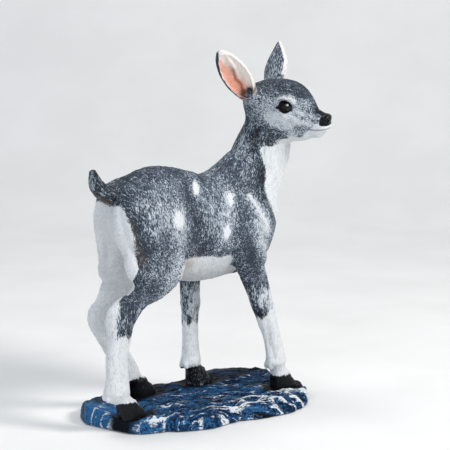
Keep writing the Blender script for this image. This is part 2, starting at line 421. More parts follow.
def ear_left_prims():
    return [
    Tube([[128.29, 15.08, 399.64, 8.42, 9, 9, 0], [132.19, 17.29, 406.79, 10.64, 9, 10.5, 0], [136.47, 19.72, 414.67, 14.72, 8, 10.5, 0], [141.26, 22.54, 424.14, 17.22, 7, 9.6, 0], [146.04, 25.52, 434.57, 16.5, 5.8, 8.2, 0], [150.12, 28.22, 444.47, 12.33, 4.8, 6.6, 0], [153.02, 30.26, 452.23, 8.04, 3.8, 4.8, 0], [155.07, 31.76, 458.12, 4.64, 2.8, 3.4, 0], [156.11, 32.55, 461.3, 2.32, 1.8, 2, 0]],
             side=[-0.259, 0.954, -0.154], n=4, k=0, op='u', cap=0.5),
        Tube([[136.64, 18.68, 407.93, 5.76, 5, 7, 0], [140.11, 20.66, 414.39, 10.64, 5, 10, 0], [144.5, 23.26, 423.15, 14.06, 5, 10.5, 0], [148.92, 26.02, 432.85, 13.75, 4.2, 9, 0], [153, 28.72, 442.74, 10.11, 3, 7, 0], [155.91, 30.76, 450.5, 6.12, 2, 4.6, 0], [157.69, 32.06, 455.6, 3.02, 1.2, 3, 0]],
             side=[-0.259, 0.954, -0.154], n=4, k=1.2, op='s', cap=0.5),
    ]


def tail_prims():
    return [
    Tube([[-106.1, 11.6, 290, 16, 13, 16, 0], [-124.1, 11.6, 287, 14, 12, 14.5, 0], [-137.1, 11.6, 291, 11.5, 10, 12, 0], [-147.1, 11.6, 300, 9.8, 8.8, 9.8, 0], [-152.1, 11.6, 311, 7.6, 6.6, 7.6, 0], [-154.1, 11.6, 320, 5, 4.4, 5, 0]],
         side=[0, 1, 0], n=5, k=0, op='u', cap=0.6),
    ]


# ---- frames of reference on the animal --------------------------------------------------------------
HEAD_O = np.array((125.9, -13.85, 382.39))
HEAD_R = np.array([(0.4484, 0.89115, -0.06924), (-0.88004, 0.4266, -0.20869), (-0.15643, 0.15451, 0.97553)])          # columns: forward, left, up
EYE_LEVEL, EYE_AHEAD, EYE_OUT = 9.5, 12.5, 20.9
NECK_CUT = (np.array((69.9, 11.6, 271.0)), np.array((0.5027, 0.0, 0.8645)))
HEAD_CUT = (np.array((119.8, 7.94, 357.4)), np.array((0.1642, -0.6208, 0.7666)))
HIND_Z, FORE_Z = 163.0, 160.0
# level, axis x, axis y, degrees the front of the neck is turned to the animal's right
NECK_AXIS = np.array([(190, 52, 11.6, 0), (225, 60, 11.6, 0), (250, 66.5, 11.6, 0), (278, 79.7, 11.6, 5), (302, 98.5, 10.6, 16), (318, 104.3, 8.6, 26),
                      (337, 109.2, 5.6, 38), (354, 113, 2.6, 50), (380, 118, -2, 60)], float)


def head_local(q):
    return (q - HEAD_O) @ HEAD_R


def neck_turn(q):
    """Angle in degrees between a point and the front of the neck at its level."""
    cx, cy, tw = (np.interp(q[:, 2], NECK_AXIS[:, 0], NECK_AXIS[:, i]) for i in (1, 2, 3))
    tw = np.radians(tw)
    fx, fy = np.cos(tw), -np.sin(tw)
    dx, dy = q[:, 0] - cx, q[:, 1] - cy
    return np.degrees(np.abs(np.arctan2(dy * fx - dx * fy, dx * fx + dy * fy))) * np.where(q[:, 2] < 268, step(np.hypot(dx, dy), 12, 24), 1.0)


# ---- carved relief: signed height in millimetres ----------------------------------------------------
def carve_coat(q, n, hair, amount=1.0):
    """Hair locks the brush later catches, from broad tufts down to single strokes."""
    tuft = fbm(hair * np.array([1 / 6.0, 1 / 17.0, 1 / 6.0]), 2, 3)
    lock = noise(hair * np.array([1 / 2.4, 1 / 8.0, 1 / 2.4]), 9)
    return amount * (0.46 * tuft + 0.30 * lock)


def muscles(q, n):
    """Hollows and ridges of the flank, the haunch and the shoulder, the same on both sides."""
    x, z = q[:, 0], q[:, 2]
    side = step(np.abs(n[:, 1]), 0.15, 0.6)
    h = -2.4 * stroke(x, z, [(-30, 292), (-30, 262), (-22, 232), (-12, 206)], 7.5)       # flank hollow
    h += 1.5 * stroke(x, z, [(-52, 285), (-50, 250), (-44, 222)], 8)                      # haunch front edge
    h += 1.3 * stroke(x, z, [(58, 274), (72, 252), (88, 228)], 5)                         # shoulder ridge
    h -= 1.2 * stroke(x, z, [(50, 262), (58, 240), (62, 214)], 5)                         # behind the shoulder
    h += 1.1 * stroke(x, z, [(66, 232), (74, 212), (78, 192)], 5.5)
    h -= 1.4 * stroke(x, z, [(38, 214), (50, 200), (58, 186)], 5)                         # elbow crease
    for i, rx in enumerate((2, 16, 30)):
        h += 0.45 * stroke(x, z, [(rx, 276), (rx - 5, 244), (rx - 1, 214)], 3.2)          # ribs, faint
    h -= 1.6 * stroke(x, z, [(-138, 286), (-131, 250), (-122, 214), (-117, 186)], 2.6) * step(-n[:, 0], -0.4, 0.5)   # buttock crease
    h -= 1.0 * stroke(x, z, [(-66, 214), (-78, 196), (-92, 186)], 5)                      # stifle fold
    h += 0.9 * stroke(x, z, [(-70, 292), (-92, 262), (-96, 232)], 11)                     # thigh muscle
    h -= 1.0 * stroke(x, z, [(-52, 212), (-66, 200), (-84, 190)], 5)
    h += 0.9 * bump(x, z, 20, 250, 20, 24) - 0.9 * stroke(x, z, [(34, 286), (44, 262), (48, 240)], 5)
    return 1.25 * h * side


GROOVES = {"rear_right": [(-146, 128), (-149, 96), (-147, 60)], "rear_left": [(-110, 128), (-98, 96), (-82, 60)],
           "front_right": [(80, 108), (87, 84), (92, 58)], "front_left": [(2, 108), (3, 84), (5, 58)]}


def leg_veins(q, n, hair, which):
    """Hollow between shin bone and tendon, knuckled knees and fine surface veins."""
    x, z = q[:, 0], q[:, 2]
    side = step(np.abs(n[:, 1]), 0.25, 0.7)
    h = 0.30 * fbm(hair * np.array([1 / 7.0, 1 / 26.0, 1 / 7.0]), 2, 31) * step(z, 40, 60)
    h -= 1.5 * side * stroke(x, z, GROOVES[which], 2.6)
    if which.startswith("front"):
        h += 0.9 * side * np.exp(-0.5 * ((z - 128) / 6.0) ** 2) - 0.7 * side * np.exp(-0.5 * ((z - 116) / 4.0) ** 2)
        h += 0.6 * np.exp(-0.5 * ((z - 121) / 9.0) ** 2) * step(n[:, 0], 0.1, 0.7)
    else:
        h += 0.8 * side * bump(x, z, -128, 140, 9, 7) - 0.8 * side * stroke(x, z, [(-138, 158), (-132, 128)], 3.0) * (which == "rear_right")
    return h


def head_carving(q, n):
    p = head_local(q)
    x, y, z = p[:, 0], np.abs(p[:, 1]), p[:, 2]
    h = np.zeros(len(q))
    h -= 0.8 * np.exp(-0.5 * (((x - 26) / 5.0) ** 2 + ((z - 3) / 4.0) ** 2)) * step(y, 8, 12)
    zm = -15.6 - 0.16 * (64 - x)                                                          # mouth line
    h -= 1.6 * np.exp(-0.5 * ((z - zm) / 0.85) ** 2) * step(x, 36, 46) * step(z, -30, -20)
    h += 0.45 * np.exp(-0.5 * ((z - zm + 3.0) / 1.5) ** 2) * step(x, 38, 48)
    h += 1.3 * bump(x, z, 50, -25, 5.5, 4.0) - 2.0 * bump(x, z, 39, -25, 5.0, 4.5) - 1.6 * bump(x, z, 60, -20, 3.0, 3.5)   # chin
    h -= 0.9 * np.exp(-0.5 * (y / 0.7) ** 2) * step(x, 58, 62) * step(-z, 6, 12)         # philtrum
    h += 1.5 * stroke(x, z, [(2, 17), (8, 21.5), (15, 21.5), (21, 17.5)], 2.4) * step(y, 12, 17)      # brow
    h -= 0.8 * stroke(x, z, [(22, 4), (29, 0), (36, -3)], 2.0) * step(y, 8, 12)                     # tear line
    h += 0.7 * stroke(x, z, [(14, -4), (26, -7), (38, -10)], 2.6) * step(y, 8, 12)                  # cheek bone
    h += 0.8 * stroke(x, z, [(-22, -22), (-6, -31), (12, -33)], 4.0) * step(y, 8, 14)               # jaw edge
    h -= 0.9 * np.exp(-0.5 * (y / 3.5) ** 2) * step(x, 10, 20) * step(-x, -44, -30) * step(z, 5, 12)  # bridge furrow
    return h


# ---- paint: dark undercoat, brushed strokes, solid white, gloss ---------------------------------------
SLATE = np.array([0.021, 0.029, 0.042])
INK = np.array([0.0050, 0.0052, 0.0062])
DUSK = np.array([0.060, 0.078, 0.105])
UMBER = np.array([0.085, 0.062, 0.048])
CHALK = np.array([0.70, 0.72, 0.74])
FROST = np.array([0.55, 0.60, 0.65])


def lerp(a, b, t):
    return a + (b - a) * t[:, None]


class Coat:
    """Per-vertex paint: undercoat colour, colour of the solid paint, share of strokes, share of solid paint, gloss."""

    def __init__(s, count, dark=SLATE, light=CHALK, brush=0.3):
        s.dark = np.repeat(np.asarray(dark, float)[None], count, 0)
        s.light = np.repeat(np.asarray(light, float)[None], count, 0)
        s.brush, s.solid, s.gloss = np.full(count, float(brush)), np.zeros(count), np.zeros(count)

    def shade(s, m, colour):
        s.dark = lerp(s.dark, np.asarray(colour), np.clip(m, 0, 1))

    def cover(s, m, colour=None):
        if colour is not None:
            s.light = lerp(s.light, np.asarray(colour), np.clip(m, 0, 1))
        s.solid = np.maximum(s.solid, m)

    def strip(s, m):
        """Where m is 1 there is no light paint at all."""
        m = np.clip(m, 0, 1)
        s.brush, s.solid = s.brush * (1 - m) - 0.5 * m, s.solid * (1 - m)


SPOTS = [(-55.5, 255.6, 9.5, 13.5, -8), (-16.8, 289.8, 5.6, 9.6, 18), (30.8, 272.7, 5.2, 9.4, 14), (20.6, 232.0, 6.0, 11.0, 4)]
FAR_SPOTS = [(-62.0, 262.0, 9.0, 12.0, 10), (-24.0, 287.0, 5.6, 9.0, -14), (24.0, 268.0, 5.4, 9.6, -12), (10.0, 236.0, 5.8, 10.0, 6), (-88.0, 246.0, 5.0, 8.5, 0)]
# rear white of the thigh: level and x of its front border
BORDER = np.array([(110, -150), (137, -152), (151, -148), (167, -143), (183, -141), (197, -131), (212, -121), (240, -121), (258, -125), (271, -129), (283, -137), (296, -149)], float)


def dapples(c, where, x, z, wander, spots):
    for cx, cz, rx, rz, tilt in spots:
        a = math.radians(tilt)
        u, v = (x - cx) * math.cos(a) - (z - cz) * math.sin(a), (x - cx) * math.sin(a) + (z - cz) * math.cos(a)
        r = np.hypot(u / rx, v / rz) + 0.12 * wander
        c.cover(where * 0.92 * np.exp(-0.5 * (r / 0.70) ** 2), CHALK * 1.08)
        c.brush = c.brush + where * 0.40 * np.exp(-0.5 * (r / 1.15) ** 2)


# the pale strip down the back of the right thigh: (up, across) in the plane square to its own outer face
STRIP = np.array([(100, -96), (133, -94), (141, -87), (150, -79), (161, -72), (181, -63.5), (202, -67), (228, -76), (264, -86)], float)


def haunch_plane(q):
    """Distances across and up the face of the right haunch, in mm."""
    x, y, z = q[:, 0] + 4.1, q[:, 1] - MID, q[:, 2]
    return 0.788 * x - 0.616 * y, z + 0.2 * (0.616 * x + 0.788 * y)


def under_jaw(c, q, n):
    """The dark fold painted where the throat meets the jaw, on the right side."""
    across, up = haunch_plane(q)
    band = stroke(across, up, [(78, 352), (88, 346.5), (103, 346), (119, 350)], 4.0)
    fade = step(-0.645 * n[:, 0] - 0.757 * n[:, 1], -0.05, 0.35) * step(q[:, 2], 318, 328) * (1 - step(across, 94, 124))
    above = stroke(across, up, [(82, 357), (100, 356)], 5.0)
    c.solid = c.solid * (1 - np.minimum(1.0, 1.3 * np.maximum(band, above)) * fade)
    c.brush = c.brush - 0.16 * band * fade
    c.shade(0.45 * band * fade, UMBER * 0.4)


def body_paint(q, n):
    """Torso, neck and upper legs."""
    x, y, z = q.T
    near, side = y < MID, np.where(y < MID, -1.0, 1.0)
    c = Coat(len(q), SLATE, CHALK, 0.36)
    wander, broad = fbm(q / 20.0, 3, 51), fbm(q / 34.0, 2, 52)
    b = c.brush
    b += 0.24 * bump(x, z, -92, 266, 18, 24) + 0.12 * bump(x, z, -52, 246, 20, 30) + 0.08 * bump(x, z, -66, 292, 22, 10)
    b -= 0.16 * stroke(x, z, [(-140, 298), (-130, 276), (-120, 250), (-112, 226)], 7)
    b -= 0.08 * step(z, 296, 314) * step(-x, -40, 20)
    b -= 0.12 * stroke(x, z, [(-30, 292), (-26, 266), (-20, 236), (-12, 206)], 8)
    b += 0.22 * bump(x, z, 10, 262, 24, 28) + 0.10 * bump(x, z, 26, 222, 20, 18)
    b += 0.50 * bump(x, z, 76, 222, 13, 20) + 0.12 * bump(x, z, 84, 262, 14, 20)
    b -= 0.14 * bump(x, z, -94, 218, 20, 18) + 0.16 * stroke(x, z, [(44, 232), (52, 212), (56, 192)], 5)
    b += 0.30 * bump(x, z, -54, 208, 15, 13) + 0.34 * bump(x, z, -84, 196, 22, 14) + 0.08 * bump(x, z, -40, 240, 12, 22)
    b += 0.10 * bump(x, z, 104, 225, 10, 26) + 0.22 * stroke(x, z, [(84, 204), (82, 180), (82, 158)], 8.0)
    b += 0.16 * wander + 0.12 * broad + 0.03 * muscles(q, n)
    c.shade(0.45 * bump(x, z, 10, 260, 46, 34), DUSK)
    c.shade(0.7 * stroke(x, z, [(-128, 262), (-121, 232), (-114, 208)], 4.0) * step(-n[:, 0], -0.9, 0.1), UMBER * 0.7)
    c.shade(0.35 * stroke(x, z, [(-28, 268), (-20, 236), (-12, 210)], 7), INK)
    b += 0.30 * near * stroke(x, z, [(-62, 180), (-86, 163), (-110, 147)], 6.5)
    # neck: dusty side, dark line beside the bib
    turn = neck_turn(q)
    up_neck = step(z, 288, 316) * step(x, 52, 70)
    c.brush = b = b + 0.16 * up_neck * step(100 - np.abs(turn - 120), 40, 70)
    limit = np.interp(z, [205, 222, 245, 270, 300, 338, 352, 360], [0, 16, 40, 60, 84, 102, 102, 78]) + 6 * wander
    beside = np.exp(-0.5 * ((turn - limit - 14) / 10.0) ** 2) * step(x, 52, 66) * step(z, 250, 276)
    c.brush = b = b - 0.22 * beside
    c.shade(0.7 * beside, INK)
    # buttocks and inner thighs: pale behind the dark border
    edge = np.interp(z, BORDER[:, 0], BORDER[:, 1]) + 3.0 * wander + ~near * np.interp(z, [150, 215, 262, 290], [24, 16, 6, 0])
    back = step(edge - x, -4.5, 5.0) * step(-z, -294, -280)
    c.cover(back * 0.92, CHALK * 0.95)
    inner = step(-n[:, 1] * side, 0.0, 0.5) * step(-x, 56, 84) * step(-z, -292, -272)
    pale = ~near * step(-n[:, 0], -0.1, 0.6) * step(-x, 84, 96) * step(-z, -232, -196)
    cleft = step(-np.abs(y - MID), -20, -12) * step(-x, 84, 96) * step(-z, -284, -268) * step(-n[:, 2], -0.5, 0.0)
    across, up = haunch_plane(q)
    strip = near * step(np.interp(up, STRIP[:, 0], STRIP[:, 1]) + 2.0 * wander - across, -2.5, 2.5) * step(-z, -236, -212) * step(-x, 60, 70)
    rear = near * step(-n[:, 0], 0.3, 0.6) * step(n[:, 1], -0.35, -0.05) * step(-x, 84, 96) * step(-z, -232, -196)
    c.cover(np.maximum(np.maximum(inner, np.maximum(pale, rear)), np.maximum(cleft, strip)) * 0.95, CHALK * np.where(near, 0.93, 0.86)[:, None])
    # belly
    line = np.interp(x, [-60, -30, 10, 30, 44], [198, 204, 199, 201, 192]) + 3.5 * wander
    belly = step(line - z, -6, 6) * step(x, -64, -46) * step(-x, -42, -26) * (1 - step(y - MID, 26, 34) * step(-z, -184, -174) * step(x, -30, -16))
    under = step(-n[:, 2], 0.35, 0.8) * step(-z, -215, -200) * step(z, 161, 166) * step(-np.abs(y - MID), -34, -26) * step(-x, -58, -44)
    c.cover(np.maximum(belly, under) * 0.92, CHALK * 0.84)
    c.cover(0.55 * bump(x, z, -31, 195, 7, 4.0) * near, np.array([0.40, 0.33, 0.27]))
    # white bib down the front of the neck
    bib = step(limit - turn, -12, 12) * step(x, 40, 60) * step(z, 214, 240) * step(-z, -366, -350)
    c.cover(bib * 1.0, CHALK)
    # white dapples and the long streak on the shoulder
    c.brush = b
    dapples(c, near * 1.0, x, z, wander, SPOTS)
    dapples(c, ~near * 1.0, x, z, wander, FAR_SPOTS)
    streak = stroke(x, z, [(60, 274), (74, 251), (87, 232)], 3.6)
    c.cover(streak * 0.58, CHALK)
    c.brush = c.brush + 0.26 * stroke(x, z, [(58, 276), (74, 251), (91, 226)], 6.0)
    under_jaw(c, q, n)
    c.brush = np.clip(c.brush, -0.2, 1.15)
    return c


def leg_paint(q, n, which):
    x, y, z = q.T
    side = np.where(y < MID, -1.0, 1.0)
    c = body_paint(q, n)
    upper_brush, upper_solid = c.brush.copy(), c.solid.copy()
    wander, fleck = fbm(q / 11.0, 2, 77), fbm(q * np.array([1 / 4.0, 1 / 4.0, 1 / 15.0]), 2, 78)
    top = HIND_Z if which.startswith("rear") else FORE_Z
    joined = step(top - z, 0, 20)
    if which.startswith("rear"):
        low = step(118 + 6 * wander + 3 * fleck - z, -9, 9)
        inner = step(-n[:, 1] * side, 0.0, 0.5)
        ahead = np.interp(z, [110, 130, 150, 163], [-128, -126, -122, -112])
        brush = 0.60 + 0.40 * fleck + 0.26 * step(x - ahead, -8, 8)
        c.brush = (1 - joined) * upper_brush + joined * brush - 0.30 * bump(x, z, -131, 134, 10, 20)
        c.solid = np.maximum(c.solid, np.maximum(low, inner))
        c.light = lerp(c.light, CHALK * 0.97, np.maximum(low, 0.4 * inner))
        pale = step(-n[:, 0], -0.1, 0.6) if which == "rear_left" else step(-n[:, 0], 0.35, 0.80)
        c.cover(pale * 0.95, CHALK * 0.94)
    else:
        if which == "front_right":
            level = np.interp(x, [60, 68, 92, 100], [104, 107, 122, 124])
            brush = 0.84 + 0.50 * fleck + 0.44 * stroke(x, z, [(78, 190), (82, 158), (92, 130)], 7.0)
            rear = stroke(x, z, [(50, 164), (58, 142), (68, 116)], 6.0)
        else:
            level = 99 + 0 * x
            brush = 0.86 + 0.65 * fleck + 0.22 * step(x, 12, 24)
            rear = stroke(x, z, [(-6, 160), (-4, 110)], 4.0)
        knee = np.exp(-0.5 * ((z - level - 10) / 7.0) ** 2)
        c.brush = (1 - joined) * upper_brush + joined * (brush - 0.34 * rear - 0.22 * knee)
        c.shade(0.6 * rear, INK)
        low = step(level + 6 * wander + 4 * fleck - z, -9, 7)
        c.solid = low
        c.light = lerp(c.light, CHALK * (1.24 if which == "front_left" else 1.0), np.clip(low * 3, 0, 1))
    # horn of the hoof
    level = {"rear_right": 37.0, "rear_left": 40.0, "front_right": 33.0, "front_left": 42.0}[which]
    black = step(level + 3.0 * wander + 2.5 * fleck - z, -3.5, 2.5)
    c.shade(black, INK)
    c.strip(black)
    c.gloss = 0.55 * black
    c.brush = c.brush + (0.66 if which == "front_left" else 0.30) * black
    return c


def head_paint(q, n):
    p = head_local(q)
    nl = n @ HEAD_R
    x, y, z = p[:, 0], np.abs(p[:, 1]), p[:, 2]
    c = Coat(len(q), SLATE, CHALK, 0.64)
    wander = fbm(q / 12.0, 3, 61)
    b = c.brush
    b -= 0.42 * step(z, 12, 26) + 0.16 * step(x, 32, 44) * step(z, -6, 2)
    b += 0.50 * bump(x, z, 0, -12, 20, 13) + 0.16 * wander + 0.10 * bump(x, z, -12, 24, 14, 5)
    b += 0.34 * stroke(x, z, [(17, -7), (28, -9.5), (46, -11)], 3.2)
    b += 0.26 * stroke(x, z, [(26, 5), (34, 1), (44, -1)], 2.4)
    b -= 0.26 * stroke(x, z, [(24, 1), (36, -4), (48, -6)], 1.8) + 0.10 * stroke(x, z, [(2, -26), (22, -22), (38, -17)], 4.0)
    side = step(y, 8, 14)
    # brow arc and the patch under the eye
    du, dv = x - EYE_AHEAD, z - EYE_LEVEL
    r, ang = np.hypot(du, dv), np.degrees(np.arctan2(dv, du))
    arc = np.exp(-0.5 * ((r - 12.2 - 0.02 * np.abs(ang - 90)) / 2.3) ** 2) * step(ang, 4, 40) * step(-ang, -176, -125)
    c.cover(arc * 0.58 * side, CHALK * 0.9)
    b += 0.30 * arc * side
    c.cover(0.62 * bump(x, z, 16, -3.8, 4.4, 2.2, -12) * side, CHALK)
    b += 0.4 * bump(x, z, 17, -5.0, 8.0, 4.0, -12) * side
    c.cover(0.42 * stroke(x, z, [(24, -8), (34, -10.5), (46, -13)], 1.8) * side, CHALK)
    # dark throat latch
    latch = np.exp(-0.5 * (((x + 14) / 12.0) ** 2 + ((z + 31) / 7.5) ** 2)) * step(y, 12, 22)
    fold = np.exp(-0.5 * (((x - 4) / 22.0) ** 2 + ((z + 37) / 5.0) ** 2))
    c.brush = b = b - 0.60 * latch - 0.25 * fold
    c.shade(0.85 * latch, INK)
    # white lips, chin and underside of the jaw
    lip = np.interp(x, [30, 38, 44, 49, 54, 62], [-34, -26, -18, -12.5, -9.6, -10.5])
    muzzle = step(lip + 2.0 * wander - z, -6.0, 5.0) * step(x, 26, 42)
    c.cover(muzzle * 1.1, CHALK * 1.1)
    jaw = step(-nl[:, 2], 0.15, 0.75) * step(x, -2, 20) * step(-z, 18, 26)
    c.cover(jaw * 0.85, CHALK * 0.9)
    # black nose leather and the dark ridge behind it
    nose = step(x - 0.16 * np.abs(z + 3), 54.4, 56.0) * step(z, -11.2, -9.6)
    ridge = step(x, 38, 50) * step(z - 0.22 * (56 - x), -1.0, 3.0)
    c.shade(np.maximum(nose, 0.8 * ridge), INK * 0.7)
    c.strip(np.maximum(nose * 1.0, 0.45 * ridge))
    c.gloss = np.maximum(c.gloss, nose)
    # black lids with a drawn-out rear corner
    lids = step(8.7 - r, -0.5, 0.6)
    corner = stroke(x, z, [(3.0, 6.8), (6.4, 8.2)], 1.9)
    front = stroke(x, z, [(18.6, 7.0), (20.6, 5.8)], 1.3)
    lids = np.maximum(lids, step(np.maximum(corner, front), 0.40, 0.80)) * side
    c.shade(lids, INK * 0.7)
    c.strip(lids)
    c.gloss = np.maximum(c.gloss, 0.35 * lids)
    # the white of the neck runs up to the throat
    turn = neck_turn(q)
    throat = step(74 - turn, -10, 10) * step(-z, 30, 38) * step(-q[:, 2], -360, -348) * (1 - latch)
    c.cover(throat * 0.95, CHALK * 0.95)
    line = np.exp(-0.5 * ((z - (-15.6 - 0.16 * (64 - x))) / 0.75) ** 2) * step(x, 36, 46)
    c.light = lerp(c.light, CHALK * 0.42, 0.9 * line)
    under_jaw(c, q, n)
    base = body_paint(q, n)
    away = step((q - HEAD_CUT[0]) @ HEAD_CUT[1], 0, 26)
    c.brush = np.clip(c.brush, -0.5, 1.1) * away + base.brush * (1 - away)
    c.dark = lerp(base.dark, c.dark, away)
    c.light = np.minimum(c.light, 0.90)
    return c


EARS = {
    "right": {"root": (88.49, 7.91, 395.66), "axis": (-0.6815, -0.0664, 0.7288), "opening": (-0.3745, -0.8239, -0.4253), "size": 1.057},
    "left": {"root": (131.02, 16.62, 404.65), "axis": (0.462, 0.2618, 0.8474), "opening": (0.8483, 0.1484, -0.5083), "size": 0.845},
}


def ear_frame(name):
    e = EARS[name]
    d, face = unit(e["axis"]), unit(e["opening"])
    return np.array(e["root"]), d, face, np.cross(d, face), e["size"]


def ear_local(q, name):
    root, d, face, w, size = ear_frame(name)
    v = q - root
    return v @ d / size, v @ w / size, v @ face


def ear_carving(q, n, name):
    t, u, v = ear_local(q, name)
    _, d, face, w, _ = ear_frame(name)
    inner = step(n @ face, 0.0, 0.5) * step(t, 6, 14)
    s = 1 if name == "right" else -1
    h = 1.7 * inner * stroke(t, u * s, [(10, 1), (22, 2.6), (32, 1.2), (46, 4.5), (60, 4)], 1.6)         # long fold
    h -= 1.4 * inner * stroke(t, u * s, [(12, -3.5), (22, -1.0), (32, -2.5), (44, 1.0), (54, 1.5)], 1.5)
    h += 0.6 * inner * stroke(t, u * s, [(14, 7), (32, 10), (50, 9)], 1.5)
    h += 0.5 * inner * noise(np.stack([t / 9.0, u / 4.0, v * 0], 1), 33)
    return h + (1 - inner) * 0.3 * fbm(np.stack([u, t / 4, v], 1) / 2.6, 2, 5)


def ear_paint(q, n, name):
    t, u, v = ear_local(q, name)
    _, d, face, w, _ = ear_frame(name)
    s = 1 if name == "right" else -1
    c = Coat(len(q), SLATE, CHALK, 0.52)
    wander = fbm(q / 9.0, 2, 91)
    width = np.interp(t, [0, 14, 27, 41, 54, 64, 71.5, 75.5], [11, 16.4, 19.6, 20.0, 17.4, 13.0, 8.0, 4.0])
    width = width * (np.interp(t, [0, 20, 50, 76], [0.92, 0.82, 0.82, 0.90]) if s > 0 else np.interp(t, [20, 45, 60, 76], [1.05, 0.94, 0.74, 0.62]))
    inner = step(n @ face, -0.05, 0.25) * step(t, 5, 9)
    rear_edge = step(-u * s - (width - 2.6 - 1.4 * bump(t, t, 66, 66, 9, 9)) + 1.6 * wander, -0.8, 1.0) * step(t, 4, 16)
    inner = inner * (1 - 0.92 * rear_edge)
    pink, pale = np.array([0.80, 0.40, 0.30]), np.array([0.82, 0.73, 0.68])
    mix = step(u * s + 0.16 * (t - 34) + 3.0 * wander, -4, 6)
    c.cover(inner * 1.3, pink)
    c.light = lerp(c.light, pale, inner * mix)
    rim = np.exp(-0.5 * ((np.abs(u) - width + 0.6) / 1.5) ** 2) + step(t, 66, 72)
    c.light = lerp(c.light, np.array([0.86, 0.82, 0.80]), np.clip(rim, 0, 1) * inner)
    fold = stroke(t, u * s, [(12, -3.5), (22, -1.0), (32, -2.5), (44, 1.0), (54, 1.5)], 1.2) * step(-t, -56, -40) * inner
    c.light = lerp(c.light, np.array([0.20, 0.085, 0.065]), 0.85 * fold)
    glow = bump(t, u * s, 26, -8, 14, 5) * inner
    c.light = lerp(c.light, np.array([0.78, 0.30, 0.20]), 0.55 * glow)
    pit = inner * step(-t, -17, -9)
    c.light = lerp(c.light, np.array([0.075, 0.05, 0.045]), 0.85 * pit)
    outer_rim = step(u * s - (width - 3.0), -0.6, 1.0) * (1 - step(n @ face, -0.05, 0.25)) * step(t, 12, 24)
    c.cover(0.9 * outer_rim, np.array([0.84, 0.76, 0.74]))
    c.brush = c.brush + 0.15 * bump(t, u * s, 25, 2, 14, 7) - 0.34 * rear_edge + 0.08 * step(-t, -16, -4)
    return c


def tail_paint(q, n):
    x, y, z = q.T
    c = Coat(len(q), np.array([0.014, 0.016, 0.019]), CHALK * 0.9, 0.33)
    c.brush = c.brush + 0.20 * step(-n[:, 0], 0.1, 0.8) * step(z, 286, 300) + 0.1 * fbm(q / 8.0, 2, 14)
    c.shade(0.5 * step(-n[:, 2], 0.2, 0.8), UMBER)
    base = body_paint(q, n)
    free = step(-x, 118, 134)
    c.brush = c.brush * free + (base.brush - 0.06) * (1 - free)
    c.dark = lerp(base.dark, c.dark, free)
    c.gloss = 0.25 * free
    return c


# ---- meshes -----------------------------------------------------------------------------------------
def grid_mesh(prims, lo, hi, h, blur=1):
    lo, hi = np.array(lo, float), np.array(hi, float)
    h = h * FINE
    shape = tuple(int(math.ceil((hi[i] - lo[i]) / h)) + 1 for i in range(3))
    return nets(soften(band(prims, lo, h, shape), blur), lo, h)


def largest(V, Q, seed_box=None):
    """Keeps the biggest connected skin, so no crumbs of a neighbouring limb stay in the block."""
    label = np.arange(len(V))
    while True:
        m = label[Q].min(1)
        new = label.copy()
        for i in range(4):
            np.minimum.at(new, Q[:, i], m)
        new = new[new]
        if (new == label).all():
            break
        label = new
    ids, counts = np.unique(label[Q[:, 0]], return_counts=True)
    Q = Q[label[Q[:, 0]] == ids[counts.argmax()]]
    used = np.unique(Q)
    remap = np.full(len(V), -1)
    remap[used] = np.arange(len(used))
    return V[used], remap[Q]


def make_piece(name, V, Q, cuts=()):
    """Mesh object in metres, cut at the seams: each cut is point, normal (kept side) and an optional span in x."""
    mesh = bpy.data.meshes.new(name)
    mesh.from_pydata((V * 0.001).tolist(), [], Q.tolist())
    bm = bmesh.new()
    bm.from_mesh(mesh)
    for point, normal, span in cuts:
        geom = bm.verts[:] + bm.edges[:] + bm.faces[:]
        if span:
            a, b = span[0] * 0.001, span[1] * 0.001
            verts = [v for v in bm.verts if a < v.co.x < b]
            inside = set(verts)
            edges = [e for e in bm.edges if e.verts[0] in inside and e.verts[1] in inside]
            faces = [f for f in bm.faces if all(v in inside for v in f.verts)]
            geom = verts + edges + faces
        got = bmesh.ops.bisect_plane(bm, geom=geom, dist=2e-6, plane_co=Vector(point) * 0.001, plane_no=Vector(normal), clear_inner=True)
        rim = [e for e in got["geom_cut"] if isinstance(e, bmesh.types.BMEdge) and e.is_valid and e.is_boundary]
        for e in rim:
            e.smooth = False
        made = bmesh.ops.edgeloop_fill(bm, edges=rim)["faces"]
        for f in made:
            f.normal_update()
            if f.normal.dot(Vector(normal)) > 0:
                f.normal_flip()
    bmesh.ops.delete(bm, geom=[v for v in bm.verts if not v.link_faces], context="VERTS")
    bm.to_mesh(mesh)
    bm.free()
    flat = np.array([len(p.vertices) > 4 for p in mesh.polygons])
    mesh.polygons.foreach_set("use_smooth", ~flat)
    mesh.update()
    piece = bpy.data.objects.new(name, mesh)
    bpy.context.scene.collection.objects.link(piece)
    return piece


def points_of(piece):
    me = piece.data
    co, no = np.zeros(len(me.vertices) * 3, np.float32), np.zeros(len(me.vertices) * 3, np.float32)
    me.vertices.foreach_get("co", co)
    me.vertices.foreach_get("normal", no)
    return co.reshape(-1, 3).astype(float) * 1000.0, no.reshape(-1, 3).astype(float)


def store(piece, coat, hair):
    me, count = piece.data, len(piece.data.vertices)

    def colour(name, rgb, a=None):
        v = np.ones((count, 4), np.float32)
        v[:, :3] = rgb
        if a is not None:
            v[:, 3] = a
        layer = me.attributes.new(name, "FLOAT_COLOR", "POINT")
        layer.data.foreach_set("color", v.ravel())

    colour("undercoat", np.clip(coat.dark, 0, 1))
    colour("topcoat", np.clip(coat.light, 0, 0.95))
    colour("mask", np.stack([coat.brush, 1.22 * coat.solid, coat.gloss], 1))
    layer = me.attributes.new("hair", "FLOAT_VECTOR", "POINT")
    layer.data.foreach_set("vector", hair.astype(np.float32).ravel())


